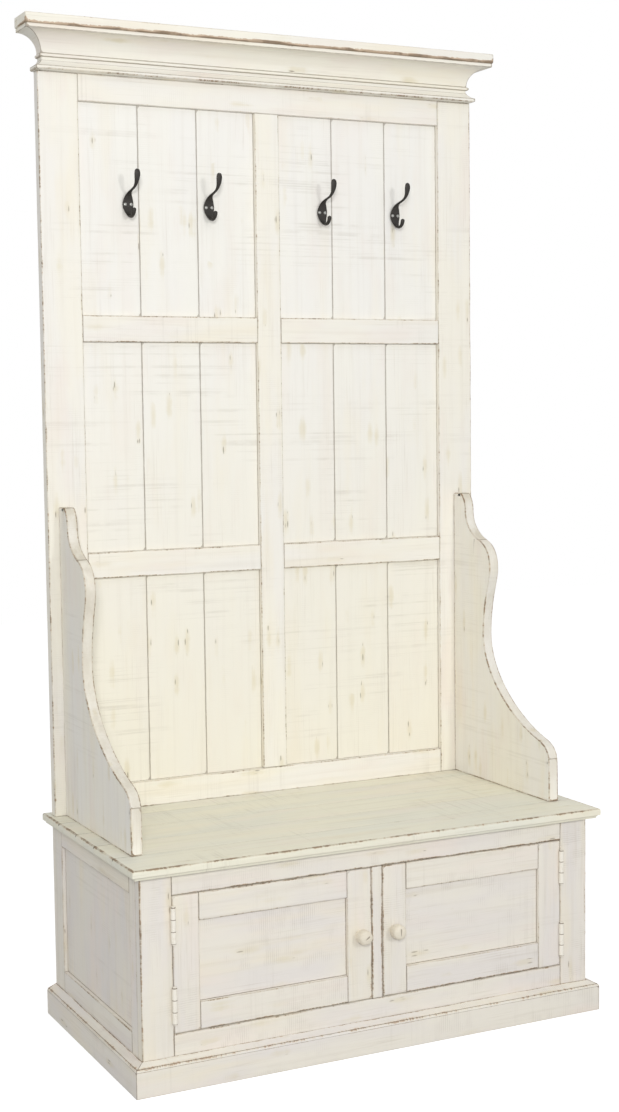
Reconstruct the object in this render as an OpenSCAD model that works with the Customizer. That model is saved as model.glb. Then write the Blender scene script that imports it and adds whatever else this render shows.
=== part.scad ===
// Hall tree: a storage bench with two cupboard doors, a panelled back with
// coat hooks, a moulded cornice and two scroll-cut arms.
// X runs across the bench, -Y is the front, +Y is the wall, +Z is up.
// The origin is on the floor, under the middle of the overall box.

/* [Base cabinet] */
// Width of the cabinet over its side frames
base_w = 999; // [900:1:1200]
// Depth of the cabinet from its back to the front of the face frame
base_d = 512; // [420:1:600]
// Height of the top of the seat above the floor
seat_h = 432; // [380:1:520]
// Thickness of the stock of the face frame and of the side frames
stock_t = 22; // [18:0.5:28]
// Height of the lower edge of the door openings
door_sill_h = 103.5; // [85:0.5:130]
// Width of the face frame's top rail under the seat
face_rail_w = 41; // [34:0.5:60]
// Width of the face frame's bottom rail
sill_rail_w = 64; // [50:0.5:80]
// Width of the face frame's outer stiles
face_stile_w = 64; // [50:0.5:85]
// Width of the upright between the doors
face_mullion_w = 23; // [18:0.5:50]
// Width of a side frame's stile next to the face frame
side_front_stile_w = 32; // [25:0.5:60]
// Width of a side frame's stile next to the wall
side_back_stile_w = 57; // [40:0.5:80]
// Thickness of the recessed panels of the sides and the doors
panel_t = 7; // [5:0.5:8]
// How far a side panel lies behind the outer face of its frame
side_recess = 8; // [5:0.5:10]
// Thickness of the cabinet's back panel
back_panel_t = 6; // [4:0.5:10]
// Thickness of the cupboard floor
floor_t = 12; // [9:0.5:18]
// Square section of the bearers under the seat and the cleats under the floor
batten = 20; // [16:0.5:24]

/* [Seat] */
// Thickness of the seat boards
seat_t = 20.5; // [18:0.5:28]
// Overhang of the seat beyond each side of the cabinet
seat_over_side = 21; // [10:0.5:30]
// Overhang of the seat in front of the face frame
seat_over_front = 24; // [12:0.5:30]
// Number of boards that the seat is glued up from
seat_board_count = 5; // [3:1:7]
// Radius of the cove along the lower edge of the seat
seat_cove_r = 7; // [4:0.5:9]
// Radius of the rounded upper edge of the seat
seat_nose_r = 4; // [2:0.5:7]

/* [Plinth] */
// Height of the plinth boards
plinth_h = 63; // [50:0.5:78]
// Thickness of the plinth boards
plinth_t = 20.5; // [15:0.5:26]
// Height of the straight face of the plinth below its moulded shoulder
plinth_face_h = 47; // [30:0.5:49]
// Rise of the sloping top of the plinth, from its shoulder to the cabinet
plinth_slope_h = 7; // [4:0.5:10]
// Set-back of the plinth's shoulder behind its face
plinth_shoulder = 4; // [2:0.5:6]

/* [Doors] */
// Gap all round a door
door_gap = 1.5; // [1.2:0.1:2.4]
// Thickness of the doors
door_t = 20; // [18:0.5:24]
// Width of the door stiles
door_stile_w = 53; // [45:0.5:65]
// Width of the door rails
door_rail_w = 53.5; // [45:0.5:65]
// How far a door panel lies behind the face of the door
door_recess = 7; // [5:0.5:8]
// Depth of the grooves that hold the panels
groove_d = 8; // [6:0.5:10]
// Play of a panel at the bottom of its grooves
panel_play = 1; // [0.5:0.1:2]

/* [Hinges] */
// Length of a hinge
hinge_l = 69; // [50:0.5:76]
// Radius of the hinge barrel
barrel_r = 4.8; // [4:0.1:5.5]
// Radius of the hinge pin
hinge_pin_r = 2; // [1.5:0.1:2.5]
// Distance from the end of a door to the end of its hinge
hinge_inset = 20.5; // [15:0.5:30]
// Thickness of a hinge leaf
leaf_t = 1.5; // [1.2:0.1:2]
// Depth of a hinge leaf behind the face of the door
leaf_d = 17; // [14:0.5:17.5]
// Radius of the button on each end of a hinge pin
finial_r = 3.2; // [2.8:0.1:4]
// Radial running clearance of the hinge pin in the door's knuckle
pin_clear = 0.05; // [0.02:0.01:0.1]

/* [Knobs and catch] */
// Radius of a knob's head
knob_r = 16; // [12:0.5:20]
// How far a knob stands out from its door
knob_reach = 31; // [26:0.5:38]
// Radius of a knob's neck
knob_neck_r = 7.5; // [6:0.5:9]
// Radius of the tenon that holds a knob
knob_tenon_r = 5; // [4:0.5:6]
// Length of the tenon that holds a knob
knob_tenon_l = 16; // [10:0.5:17]
// Distance from a door's free edge to its knob
knob_inset = 25; // [22:0.5:30]
// Width of the magnetic catch behind the upright between the doors
catch_w = 64; // [56:1:80]
// Height of the catch and of its strikes
catch_h = 16; // [12:0.5:20]
// Depth of the catch
catch_d = 14; // [10:0.5:20]
// Height of the catch above the middle of the doors
catch_up = 60; // [45:1:85]

/* [Upper back frame] */
// How far the upper back frame stands out past each side of the cabinet
back_over = 8.5; // [0:0.5:16]
// Height of the upper back frame above the seat
back_h = 1525.5; // [1300:0.5:1700]
// Thickness of the upper back frame
frame_t = 22; // [20:0.5:28]
// Distance from the wall side of the cabinet to the back of the upper frame
wall_gap = 25; // [23:0.5:60]
// Width of the outer stiles
back_stile_w = 85; // [70:0.5:100]
// Width of the middle stile
back_mullion_w = 56; // [40:0.5:80]
// Width of every rail of the upper frame
back_rail_w = 54; // [40:0.5:70]
// Height of the lower middle rail above the seat
lower_rail_up = 493; // [400:0.5:560]
// Height of the upper middle rail above the seat
upper_rail_up = 984; // [860:0.5:1060]
// How far the back boards lie behind the face of the frame
plank_recess = 10.5; // [8:0.5:12]
// Number of boards in each half of the back
planks_per_bay = 3; // [2:1:5]
// Joint between two back boards
plank_joint = 0.6; // [0.3:0.1:2]
// Width of the rebate that takes the back boards behind the frame
rebate_w = 12; // [8:0.5:20]

/* [Cornice] */
// Height of the board behind the cornice mouldings
header_h = 84; // [78:0.5:110]
// Thickness of the board behind the cornice mouldings
header_t = 28; // [22:0.5:40]
// Set-in of that board from each side of the upper frame
header_inset = 9.8; // [0:0.1:20]
// Thickness of the top board
crown_board_t = 20.5; // [15:0.5:28]
// Projection of the top board from the header
crown_board_out = 45.7; // [43.5:0.1:60]
// Radius of the large cove
crown_cove_r = 40; // [30:0.5:41]
// Radius of the bead below the cove
bead_r = 5; // [3:0.5:6]
// Height of the middle of the bead above the upper frame
bead_up = 35; // [31:0.5:35.5]
// Projection of the lower moulding
neck_out = 20.5; // [15:0.5:30]
// Height of the lower moulding
neck_h = 21.5; // [15:0.5:24]
// Height of the lower moulding's flat nose
neck_nose_h = 9.5; // [6:0.5:12]

/* [Arms] */
// Thickness of the arms
arm_t = 23; // [18:0.5:30]
// Height of the arms above the seat
arm_h = 645; // [560:1:700]
// Depth of an arm's foot on the seat, from the face of the upper frame
arm_d = 387; // [340:1:400]
// Set-in of the arms from each side of the upper frame
arm_inset = 24; // [18:0.5:40]
// Depth of an arm at its waist
arm_waist_d = 124.5; // [100:0.5:135]
// Depth of an arm at its upper bulge
arm_bulge_d = 153.5; // [142:0.5:180]
// Depth of an arm at its top
arm_top_d = 30; // [20:0.5:40]

/* [Coat hooks] */
// Height of the middle of the hook plates above the seat
hook_up = 1268; // [1100:1:1340]
// Distance of a hook from the middle of its half of the back
hook_offset = 91; // [60:1:120]
// Width of a hook plate
hook_plate_w = 24; // [20:0.5:30]
// Height of a hook plate
hook_plate_h = 57; // [52:0.5:64]
// Thickness of a hook plate
hook_plate_t = 4; // [3:0.5:5]
// Thickness of the prongs
prong_t = 5.5; // [4:0.5:7]
// Reach of the upper prong from the boards to its middle line
prong_reach = 61; // [50:0.5:75]
// Height of the upper prong's tip above the middle of the plate
prong_tip_up = 66; // [58:0.5:80]
// Reach of the lower prong from the boards to its middle line
small_prong_reach = 43; // [34:0.5:55]
// Width of the upper prong's tip
prong_tip_w = 12; // [9:0.5:15]
// Width of the prongs near the plate
prong_w = 8; // [6:0.5:9]
// Radius of the screw heads
hook_screw_head_r = 3.6; // [2.8:0.1:4]
// Radius of the wood screws
screw_r = 1.5; // [1.2:0.1:1.9]
// Length of the hook screws under their heads
hook_screw_l = 13.5; // [11:0.5:14.5]
// Spacing of the two screws of a hook
hook_screw_gap = 13; // [11:0.5:14]

/* [Brackets] */
// Height of the steel brackets that hold the upper frame
bracket_h = 38; // [30:1:48]
// Width of a bracket
bracket_w = 18; // [14:0.5:26]
// Thickness of a bracket
bracket_t = 2; // [1.5:0.1:3]
// Distance of the outer brackets in from the outer stiles
bracket_in = 93; // [20:1:110]

/* [Hidden] */
$fn = 64;

white = [0.93, 0.91, 0.87];
plank_white = [0.94, 0.94, 0.92];
bare_wood = [0.72, 0.62, 0.47];
bronze = [0.16, 0.15, 0.14];
steel = [0.6, 0.6, 0.6];

// Length that a cut runs past the face that it opens
cut = 1;
// Clearance of a screw's shank in its hole
screw_clear = 0.1;
// Clearance between the two leaves of a closed hinge, on each side of its axis
leaf_clear = 0.05;
// Clearance of a moving knuckle or leaf
hinge_clear = 0.2;
// Gap between a door's strike and the catch
catch_clear = 0.3;

// Height that clears every moulding when it is cut to its mitre
moulding_room = header_h + plinth_h;

// Depth from the wall side to the foremost point of the knobs or the seat
overall_d = base_d + max(knob_reach, seat_over_front);
y_wall = overall_d / 2;
y_face = y_wall - base_d;
y_back = y_wall - wall_gap - frame_t;
seat_bottom = seat_h - seat_t;
door_head_h = seat_bottom - face_rail_w;
inner_x = base_w / 2 - stock_t;
inner_front = y_face + stock_t;
inner_back = y_wall - back_panel_t;

// Doors
open_x1 = base_w / 2 - face_stile_w;
open_x0 = face_mullion_w / 2;
door_w = open_x1 - open_x0 - 2 * door_gap;
door_h = door_head_h - door_sill_h - 2 * door_gap;
door_z = door_sill_h + door_gap;
side_frame_l = base_d - stock_t;

// Hinges: the axis is in the middle of the gap, in front of the face
hinge_x = open_x1 - door_gap / 2;
hinge_y = y_face - barrel_r - hinge_clear;
knuckle_l = (hinge_l - 2 * hinge_clear) / 3;
mortise = leaf_t + leaf_clear - door_gap / 2;
hinge_zs = [door_z + hinge_inset, door_z + door_h - hinge_inset - hinge_l];
leaf_screw_y = y_face + leaf_d * 0.55;
leaf_screw_zs = [hinge_l * 0.2, hinge_l * 0.8];
hinge_screw_l = 14;
csk_r = 2.9;

// Knobs and catch
knob_x = open_x0 + door_gap + knob_inset;
knob_z = door_z + door_h / 2;
catch_z = knob_z + catch_up;
strike_t = stock_t - door_t - catch_clear;
strike_w = catch_w / 2 - open_x0 - door_gap;

// Upper frame
back_w = base_w + 2 * back_over;
z_frame_top = seat_h + back_h;
bay_x0 = back_mullion_w / 2;
bay_x1 = back_w / 2 - back_stile_w;
bay_w = bay_x1 - bay_x0;
plank_t = frame_t - plank_recess;
plank_w = bay_w / planks_per_bay;

// Cornice
header_w = back_w - 2 * header_inset;
z_header_top = z_frame_top + header_h;

// Arms: the outer face of the right arm
arm_x = back_w / 2 - arm_inset;

// Hooks
y_plank = y_back + plank_recess;
hook_xs = [for (bay = [-1, 1], side = [-1, 1]) bay * (bay_x0 + bay_w / 2) + side * hook_offset];
hook_z = seat_h + hook_up;
screw_head_h = 2;

bracket_x = bay_x1 - bracket_in;
bracket_xs = [-bracket_x, 0, bracket_x];
bracket_foot = wall_gap - 2;
bracket_screw_l = 15;
bracket_head_r = 3.2;
bracket_head_h = 1.6;
bracket_foot_screw_y = (bracket_t + bracket_foot) / 2;
bracket_leg_screw_z = bracket_h - 11;

// ---------------------------------------------------------------- helpers

module block(low, high) {
    translate(low) cube(high - low);
}

module both_sides() {
    children();
    mirror([1, 0, 0]) children();
}

// A point on a cubic curve from a to d, drawn towards b and c
function curve_point(a, b, c, d, t) =
    pow(1 - t, 3) * a + 3 * t * pow(1 - t, 2) * b + 3 * t * t * (1 - t) * c + t * t * t * d;
function curve(a, b, c, d, steps = 10) =
    [for (i = [1:steps]) curve_point(a, b, c, d, i / steps)];

// The 2D child, out along +X and up along +Y, run along the front of a block
// that is w wide, with its front at y = 0, and mitred at both ends
module front_moulding(w, out) {
    intersection() {
        translate([-w / 2 - out, 0, 0])
            rotate([90, 0, 90])
                linear_extrude(w + 2 * out) mirror([1, 0]) children();
        linear_extrude(moulding_room)
            polygon([[-w / 2, 0], [w / 2, 0], [w / 2 + out, -out], [-w / 2 - out, -out]]);
    }
}

// The same moulding returned along the right side of the block, to y = d
module side_moulding(w, out, d) {
    intersection() {
        translate([w / 2, d, 0])
            rotate([90, 0, 0])
                linear_extrude(d + out) children();
        linear_extrude(moulding_room)
            polygon([[w / 2, 0], [w / 2, d], [w / 2 + out, d], [w / 2 + out, -out]]);
    }
}

// A countersunk wood screw with its face at z = 0, pointing down
module countersunk_screw(length) {
    translate([0, 0, -leaf_t]) cylinder(h = leaf_t, r1 = screw_r, r2 = csk_r);
    translate([0, 0, -length]) cylinder(h = length - leaf_t, r = screw_r);
}

module countersink() {
    translate([0, 0, -leaf_t])
        cylinder(h = leaf_t, r1 = screw_r + screw_clear, r2 = csk_r + screw_clear);
    translate([0, 0, -leaf_t - cut]) cylinder(h = 2 * leaf_t, r = screw_r + screw_clear);
}

// A round-headed wood screw: its head stands on z = 0 and it points down
module round_screw(head_r, head_h, length) {
    ball_r = (head_r * head_r + head_h * head_h) / (2 * head_h);
    intersection() {
        translate([0, 0, head_h - ball_r]) sphere(r = ball_r);
        cylinder(h = head_h, r = head_r);
    }
    translate([0, 0, -length]) cylinder(h = length, r = screw_r);
}

module screw_hole(length) {
    translate([0, 0, -length - cut]) cylinder(h = length + 2 * cut, r = screw_r + screw_clear);
}

// ------------------------------------------------- framed panels (all five)
// Each lies with its face at y = 0, its width along x and its height along z.

module panel_space(w, left, right, low, high, recess, play) {
    reach = groove_d - play;
    block([left - reach, recess, low - reach],
          [w - right + reach, recess + panel_t, high + reach]);
}

module frame_stiles(w, h, t, left, right, low, high, recess) {
    difference() {
        union() {
            cube([left, t, h]);
            translate([w - right, 0, 0]) cube([right, t, h]);
        }
        panel_space(w, left, right, low, high, recess, 0);
    }
}

module frame_rails(w, t, left, right, bottom, low, high, top, recess) {
    difference() {
        union() {
            block([left, 0, bottom], [w - right, t, low]);
            block([left, 0, high], [w - right, t, top]);
        }
        panel_space(w, left, right, low, high, recess, 0);
    }
}

// ------------------------------------------------------------ base cabinet

module plinth_profile() {
    shoulder_h = plinth_h - plinth_slope_h;
    rise = shoulder_h - plinth_face_h;
    polygon(concat(
        [[0, 0], [plinth_t, 0], [plinth_t, plinth_face_h]],
        curve([plinth_t, plinth_face_h], [plinth_t, plinth_face_h + rise * 0.6],
              [plinth_t - plinth_shoulder * 0.4, shoulder_h],
              [plinth_t - plinth_shoulder, shoulder_h], 6),
        [[0, plinth_h]]
    ));
}

module plinth_front() {
    color(white)
        translate([0, y_face, 0]) front_moulding(base_w, plinth_t) plinth_profile();
}

module plinth_right() {
    color(white)
        translate([0, y_face, 0]) side_moulding(base_w, plinth_t, base_d) plinth_profile();
}

module plinth_left() {
    mirror([1, 0, 0]) plinth_right();
}

// Places a framed panel as the left side of the cabinet, its face outwards
module at_left_side() {
    translate([-base_w / 2, y_wall, 0]) rotate([0, 0, -90]) children();
}

module left_side_stiles() {
    color(white) at_left_side()
        frame_stiles(side_frame_l, seat_bottom, stock_t, side_back_stile_w,
                     side_front_stile_w, door_sill_h, door_head_h, side_recess);
}

module left_side_rails() {
    color(white) at_left_side()
        frame_rails(side_frame_l, stock_t, side_back_stile_w, side_front_stile_w,
                    door_sill_h - sill_rail_w, door_sill_h, door_head_h, seat_bottom, side_recess);
}

module left_side_panel() {
    color(white) at_left_side()
        panel_space(side_frame_l, side_back_stile_w, side_front_stile_w,
                    door_sill_h, door_head_h, side_recess, panel_play);
}

module right_side_stiles() {
    mirror([1, 0, 0]) left_side_stiles();
}

module right_side_rails() {
    mirror([1, 0, 0]) left_side_rails();
}

module right_side_panel() {
    mirror([1, 0, 0]) left_side_panel();
}

module face_stiles() {
    color(white) both_sides() difference() {
        block([open_x1, y_face, 0], [base_w / 2, inner_front, seat_bottom]);
        at_hinges() frame_leaf_pocket();
        at_hinges() at_frame_leaf_screws() screw_hole(hinge_screw_l);
    }
}

module face_top_rail() {
    color(white) block([-open_x1, y_face, door_head_h], [open_x1, inner_front, seat_bottom]);
}

module face_bottom_rail() {
    color(white)
        block([-open_x1, y_face, door_sill_h - sill_rail_w], [open_x1, inner_front, door_sill_h]);
}

module face_mullion() {
    color(white) block([-open_x0, y_face, door_sill_h], [open_x0, inner_front, door_head_h]);
}

module cabinet_floor() {
    color(bare_wood)
        block([-inner_x, inner_front, door_sill_h - floor_t], [inner_x, inner_back, door_sill_h]);
}

module cabinet_back() {
    color(bare_wood)
        block([-inner_x, inner_back, door_sill_h - sill_rail_w], [inner_x, y_wall, seat_bottom]);
}

module floor_cleats() {
    top = door_sill_h - floor_t;
    color(bare_wood) both_sides()
        block([inner_x - batten, inner_front, top - batten], [inner_x, inner_back, top]);
}

module seat_bearers() {
    color(bare_wood) for (x = [-inner_x, -batten / 2, inner_x - batten])
        block([x, inner_front, seat_bottom - batten], [x + batten, inner_back, seat_bottom]);
}

// -------------------------------------------------------------------- seat

// Edge of the seat: rounded above, coved below; its edge is at x = 0
module seat_edge(depth) {
    difference() {
        union() {
            translate([-depth, 0]) square([depth - seat_nose_r, seat_t]);
            translate([-seat_nose_r - cut, 0]) square([seat_nose_r + cut, seat_t - seat_nose_r]);
            translate([-seat_nose_r, seat_t - seat_nose_r]) circle(r = seat_nose_r);
        }
        circle(r = seat_cove_r);
    }
}

module seat_slab() {
    half_w = base_w / 2 + seat_over_side;
    front = y_face - seat_over_front;
    depth = y_wall - front;
    translate([0, 0, seat_bottom]) intersection() {
        translate([-half_w, front, 0]) rotate([90, 0, 90])
            linear_extrude(2 * half_w) mirror([1, 0]) seat_edge(depth);
        translate([0, y_wall, 0]) rotate([90, 0, 0]) linear_extrude(depth) {
            translate([half_w, 0]) seat_edge(half_w);
            translate([-half_w, 0]) mirror([1, 0]) seat_edge(half_w);
        }
    }
}

module seat_board(i) {
    half_w = base_w / 2 + seat_over_side;
    front = y_face - seat_over_front;
    board = (y_wall - front) / seat_board_count;
    intersection() {
        seat_slab();
        block([-half_w, front + i * board, seat_bottom],
              [half_w, front + (i + 1) * board, seat_h]);
    }
}

module seat_front_board() {
    color(white) seat_board(0);
}

module seat_boards() {
    color(white) difference() {
        for (i = [1:seat_board_count - 1]) seat_board(i);
        at_brackets() at_bracket_foot_screw() screw_hole(bracket_screw_l);
    }
}

// -------------------------------------------------------- upper back frame

// The rebate behind the frame, one opening of it for each half of the back
module plank_rebate() {
    both_sides()
        block([bay_x0 - rebate_w, y_plank, seat_h - cut],
              [bay_x1 + rebate_w, y_back + frame_t + cut, z_frame_top + cut]);
}

module back_stile_right() {
    color(white) difference() {
        block([bay_x1, y_back, seat_h], [back_w / 2, y_back + frame_t, z_frame_top]);
        plank_rebate();
    }
}

module back_stile_left() {
    mirror([1, 0, 0]) back_stile_right();
}

module back_mullion() {
    color(white) difference() {
        block([-bay_x0, y_back, seat_h + back_rail_w],
              [bay_x0, y_back + frame_t, z_frame_top - back_rail_w]);
        plank_rebate();
    }
}

// A rail across the whole back, between the outer stiles; the boards run behind it
module long_rail(z) {
    difference() {
        block([-bay_x1, y_back, z], [bay_x1, y_back + frame_t, z + back_rail_w]);
        plank_rebate();
    }
}

module back_top_rail() {
    color(white) long_rail(z_frame_top - back_rail_w);
}

module back_bottom_rail() {
    color(white) difference() {
        long_rail(seat_h);
        at_brackets() at_bracket_leg_screw() screw_hole(bracket_screw_l);
    }
}

module back_mid_rails() {
    color(white) for (up = [lower_rail_up, upper_rail_up]) both_sides()
        block([bay_x0, y_back, seat_h + up], [bay_x1, y_plank, seat_h + up + back_rail_w]);
}

// The boards of the right half: they run from the seat to the cornice
module bay_planks() {
    first = bay_x0 - rebate_w;
    last = bay_x1 + rebate_w;
    for (i = [0:planks_per_bay - 1]) {
        x0 = i == 0 ? first : bay_x0 + i * plank_w + plank_joint / 2;
        x1 = i == planks_per_bay - 1 ? last : bay_x0 + (i + 1) * plank_w - plank_joint / 2;
        block([x0, y_plank, seat_h], [x1, y_back + frame_t, z_frame_top]);
    }
}

module plank_holes() {
    at_hooks() at_hook_screws() screw_hole(hook_screw_l);
    at_brackets() at_bracket_leg_screw() screw_hole(bracket_screw_l);
}

module planks_right_bay() {
    color(plank_white) difference() {
        bay_planks();
        plank_holes();
    }
}

module planks_left_bay() {
    color(plank_white) difference() {
        mirror([1, 0, 0]) bay_planks();
        plank_holes();
    }
}

// ----------------------------------------------------------------- cornice

module cornice_header() {
    color(white)
        block([-header_w / 2, y_back, z_frame_top], [header_w / 2, y_back + header_t, z_header_top]);
}

module cornice_board() {
    half_w = header_w / 2 + crown_board_out;
    color(white)
        block([-half_w, y_back - crown_board_out, z_header_top],
              [half_w, y_back + header_t, z_header_top + crown_board_t]);
}

// Bead, cove and lip, from the bead's lower edge to the top of the header
module crown_profile() {
    lip = 2;
    cove_x = crown_cove_r + 1;
    cove_y = header_h - lip - crown_cove_r;
    difference() {
        translate([0, bead_up]) square([cove_x + lip, header_h - bead_up]);
        translate([cove_x, cove_y]) circle(r = crown_cove_r, $fn = 96);
        translate([1, bead_up - cut]) square([cove_x + lip, cove_y - bead_up + cut]);
        translate([cove_x, bead_up - cut]) square([lip + cut, header_h - lip - bead_up + cut]);
    }
    intersection() {
        translate([0, bead_up]) circle(r = bead_r);
        translate([0, bead_up - bead_r]) square([bead_r, 2 * bead_r]);
    }
}

module neck_profile() {
    polygon(concat(
        [[0, 0], [neck_out, 0], [neck_out, neck_nose_h], [neck_out - 1.5, neck_nose_h]],
        curve([neck_out - 1.5, neck_nose_h], [neck_out * 0.55, neck_nose_h + 2],
              [neck_out * 0.2, neck_h * 0.75], [1, neck_h], 8),
        [[0, neck_h]]
    ));
}

module at_header() {
    translate([0, y_back, z_frame_top]) children();
}

module crown_front() {
    color(white) at_header() front_moulding(header_w, crown_board_out) crown_profile();
}

module crown_returns() {
    color(white) at_header() both_sides()
        side_moulding(header_w, crown_board_out, header_t) crown_profile();
}

module neck_mould_front() {
    color(white) at_header() front_moulding(header_w, neck_out) neck_profile();
}

module neck_mould_returns() {
    color(white) at_header() both_sides()
        side_moulding(header_w, neck_out, header_t) neck_profile();
}

// -------------------------------------------------------------------- arms

// Outline of an arm: x runs forward from the upper frame, y up from the seat
module arm_outline() {
    foot_top = [arm_d - 1.5, arm_h * 0.129];
    brow = [arm_d - 42, arm_h * 0.198];
    waist = [arm_waist_d, arm_h * 0.516];
    bulge = [arm_bulge_d, arm_h * 0.744];
    notch = [arm_bulge_d - 46.5, arm_h * 0.842];
    neck = [arm_top_d + 20, arm_h * 0.938];
    polygon(concat(
        [[0, 0], [arm_d, 0], foot_top],
        curve(foot_top, foot_top + [0, 25], brow + [23, -7], brow, 8),
        curve(brow, brow - [105, -30], waist - [0, 93], waist, 14),
        curve(waist, waist + [0, 77], bulge - [0, 25], bulge, 10),
        curve(bulge, bulge + [0, 32], notch + [30, -10], notch, 10),
        curve(notch, notch - [23, -7], neck - [0, 35], neck, 10),
        curve(neck, neck + [0, 20], [arm_top_d + 10, arm_h - 5], [arm_top_d, arm_h], 8),
        [[0, arm_h]]
    ));
}

module arm_right() {
    color(white)
        translate([arm_x - arm_t, y_back, seat_h])
            rotate([90, 0, 90]) linear_extrude(arm_t) mirror([1, 0]) arm_outline();
}

module arm_left() {
    mirror([1, 0, 0]) arm_right();
}

// ------------------------------------------------------------------- hooks
// A hook is drawn with the boards' face at y = 0 and its plate's middle at z = 0.

module at_hook(x) {
    translate([x, y_plank, hook_z]) children();
}

module at_hooks() {
    for (x = hook_xs) at_hook(x) children();
}

module at_hook_screws() {
    for (side = [-1, 1])
        translate([side * hook_screw_gap / 2, -hook_plate_t, 0]) rotate([90, 0, 0]) children();
}

// A quarter or smaller part of a bent bar's side view: inside radius, from angle to angle
module bend(r, from, to) {
    wedge = 3 * r + 3 * prong_t;
    intersection() {
        difference() {
            circle(r = r + prong_t);
            circle(r = r);
        }
        polygon([[0, 0], wedge * [cos(from), sin(from)],
                 wedge * [cos((from + to) / 2), sin((from + to) / 2)], wedge * [cos(to), sin(to)]]);
    }
}

// Side view of the prongs: x runs out from the boards, y up
module prong_side_view() {
    climb = 9;
    r = 12;
    overlap = 1;
    elbow = [prong_reach - prong_t / 2 - r, hook_plate_h / 2 + 17];
    middle_r = r + prong_t / 2;
    stem_end = elbow + middle_r * [sin(climb), -cos(climb)];
    translate(elbow) bend(r, -90 + climb, 0);
    upright(prong_reach, elbow[1] - overlap, prong_tip_up);
    intersection() {
        translate(stem_end) rotate(climb)
            translate([-prong_reach, -prong_t / 2]) square([prong_reach + overlap, prong_t]);
        square(prong_tip_up);
    }

    small_r = 9;
    low_y = -hook_plate_h / 2 - 1;
    small_elbow = [small_prong_reach - prong_t / 2 - small_r, low_y + prong_t + small_r];
    translate(small_elbow) bend(small_r, -90, 0);
    upright(small_prong_reach, small_elbow[1] - overlap, small_elbow[1] + 5);
    translate([0, low_y]) square([small_elbow[0] + overlap, prong_t]);
}

// The last, upright length of a prong: its middle line is at x and its end is round
module upright(x, low, high) {
    translate([x - prong_t / 2, low]) square([prong_t, high - low - prong_t / 2]);
    translate([x, high - prong_t / 2]) circle(r = prong_t / 2);
}

// Front view of the prongs: narrow stems that widen to round tips
module prong_front_view() {
    tip_r = prong_tip_w / 2;
    tip_z = prong_tip_up - tip_r;
    stem_z = tip_z * 0.55;
    translate([0, tip_z]) circle(r = tip_r);
    polygon([[-prong_w / 2, stem_z], [prong_w / 2, stem_z], [tip_r, tip_z], [-tip_r, tip_z]]);
    translate([-prong_w / 2, -prong_tip_up]) square([prong_w, prong_tip_up + stem_z]);
}

module hook_plate() {
    // Two arcs meet in a point above and below the plate, like a pointed oval
    half_w = hook_plate_w / 2;
    half_h = hook_plate_h / 2;
    arc_r = (half_w * half_w + half_h * half_h) / hook_plate_w;
    rotate([90, 0, 0]) linear_extrude(hook_plate_t) intersection() {
        translate([half_w - arc_r, 0]) circle(r = arc_r, $fn = 128);
        translate([arc_r - half_w, 0]) circle(r = arc_r, $fn = 128);
    }
}

module coat_hook() {
    color(bronze) difference() {
        union() {
            hook_plate();
            intersection() {
                translate([-prong_tip_w, 0, 0]) rotate([90, 0, 90])
                    linear_extrude(2 * prong_tip_w) mirror([1, 0]) prong_side_view();
                translate([0, cut, 0]) rotate([90, 0, 0])
                    linear_extrude(prong_reach + prong_t + cut) prong_front_view();
            }
        }
        at_hook_screws() screw_hole(hook_plate_t);
    }
}

module hook_screws() {
    color(steel) at_hooks() at_hook_screws()
        round_screw(hook_screw_head_r, screw_head_h, hook_screw_l);
}

// ---------------------------------------------------------------- brackets
// A bracket stands on the seat behind the upper frame; y = 0 is the frame's back.

module at_brackets() {
    for (x = bracket_xs) translate([x, y_back + frame_t, seat_h]) children();
}

module at_bracket_foot_screw() {
    translate([0, bracket_foot_screw_y, bracket_t]) children();
}

module at_bracket_leg_screw() {
    translate([0, bracket_t, bracket_leg_screw_z]) rotate([-90, 0, 0]) children();
}

module back_brackets() {
    color(steel) difference() {
        at_brackets() union() {
            translate([-bracket_w / 2, 0, 0]) cube([bracket_w, bracket_t, bracket_h]);
            translate([-bracket_w / 2, 0, 0]) cube([bracket_w, bracket_foot, bracket_t]);
        }
        at_brackets() at_bracket_foot_screw() screw_hole(bracket_t);
        at_brackets() at_bracket_leg_screw() screw_hole(bracket_t);
    }
}

module bracket_screws() {
    color(steel) at_brackets() {
        at_bracket_foot_screw() round_screw(bracket_head_r, bracket_head_h, bracket_screw_l);
        at_bracket_leg_screw() round_screw(bracket_head_r, bracket_head_h, bracket_screw_l);
    }
}

// ------------------------------------------------------------------ hinges
// Hinges are drawn for the right door: the frame's leaf is on the +X side.

module at_hinges() {
    for (z = hinge_zs) translate([0, 0, z]) children();
}

module frame_leaf_pocket() {
    block([open_x1 - cut, y_face - cut, 0], [open_x1 + mortise, y_face + leaf_d, hinge_l]);
}

module door_leaf_pocket() {
    edge = open_x1 - door_gap;
    block([edge - mortise, y_face - cut, 0], [edge + cut, y_face + leaf_d, hinge_l]);
}

module at_frame_leaf_screws() {
    for (z = leaf_screw_zs)
        translate([hinge_x + leaf_clear, leaf_screw_y, z]) rotate([0, -90, 0]) children();
}

module at_door_leaf_screws() {
    for (z = leaf_screw_zs)
        translate([hinge_x - leaf_clear, leaf_screw_y, z]) rotate([0, 90, 0]) children();
}

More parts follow.
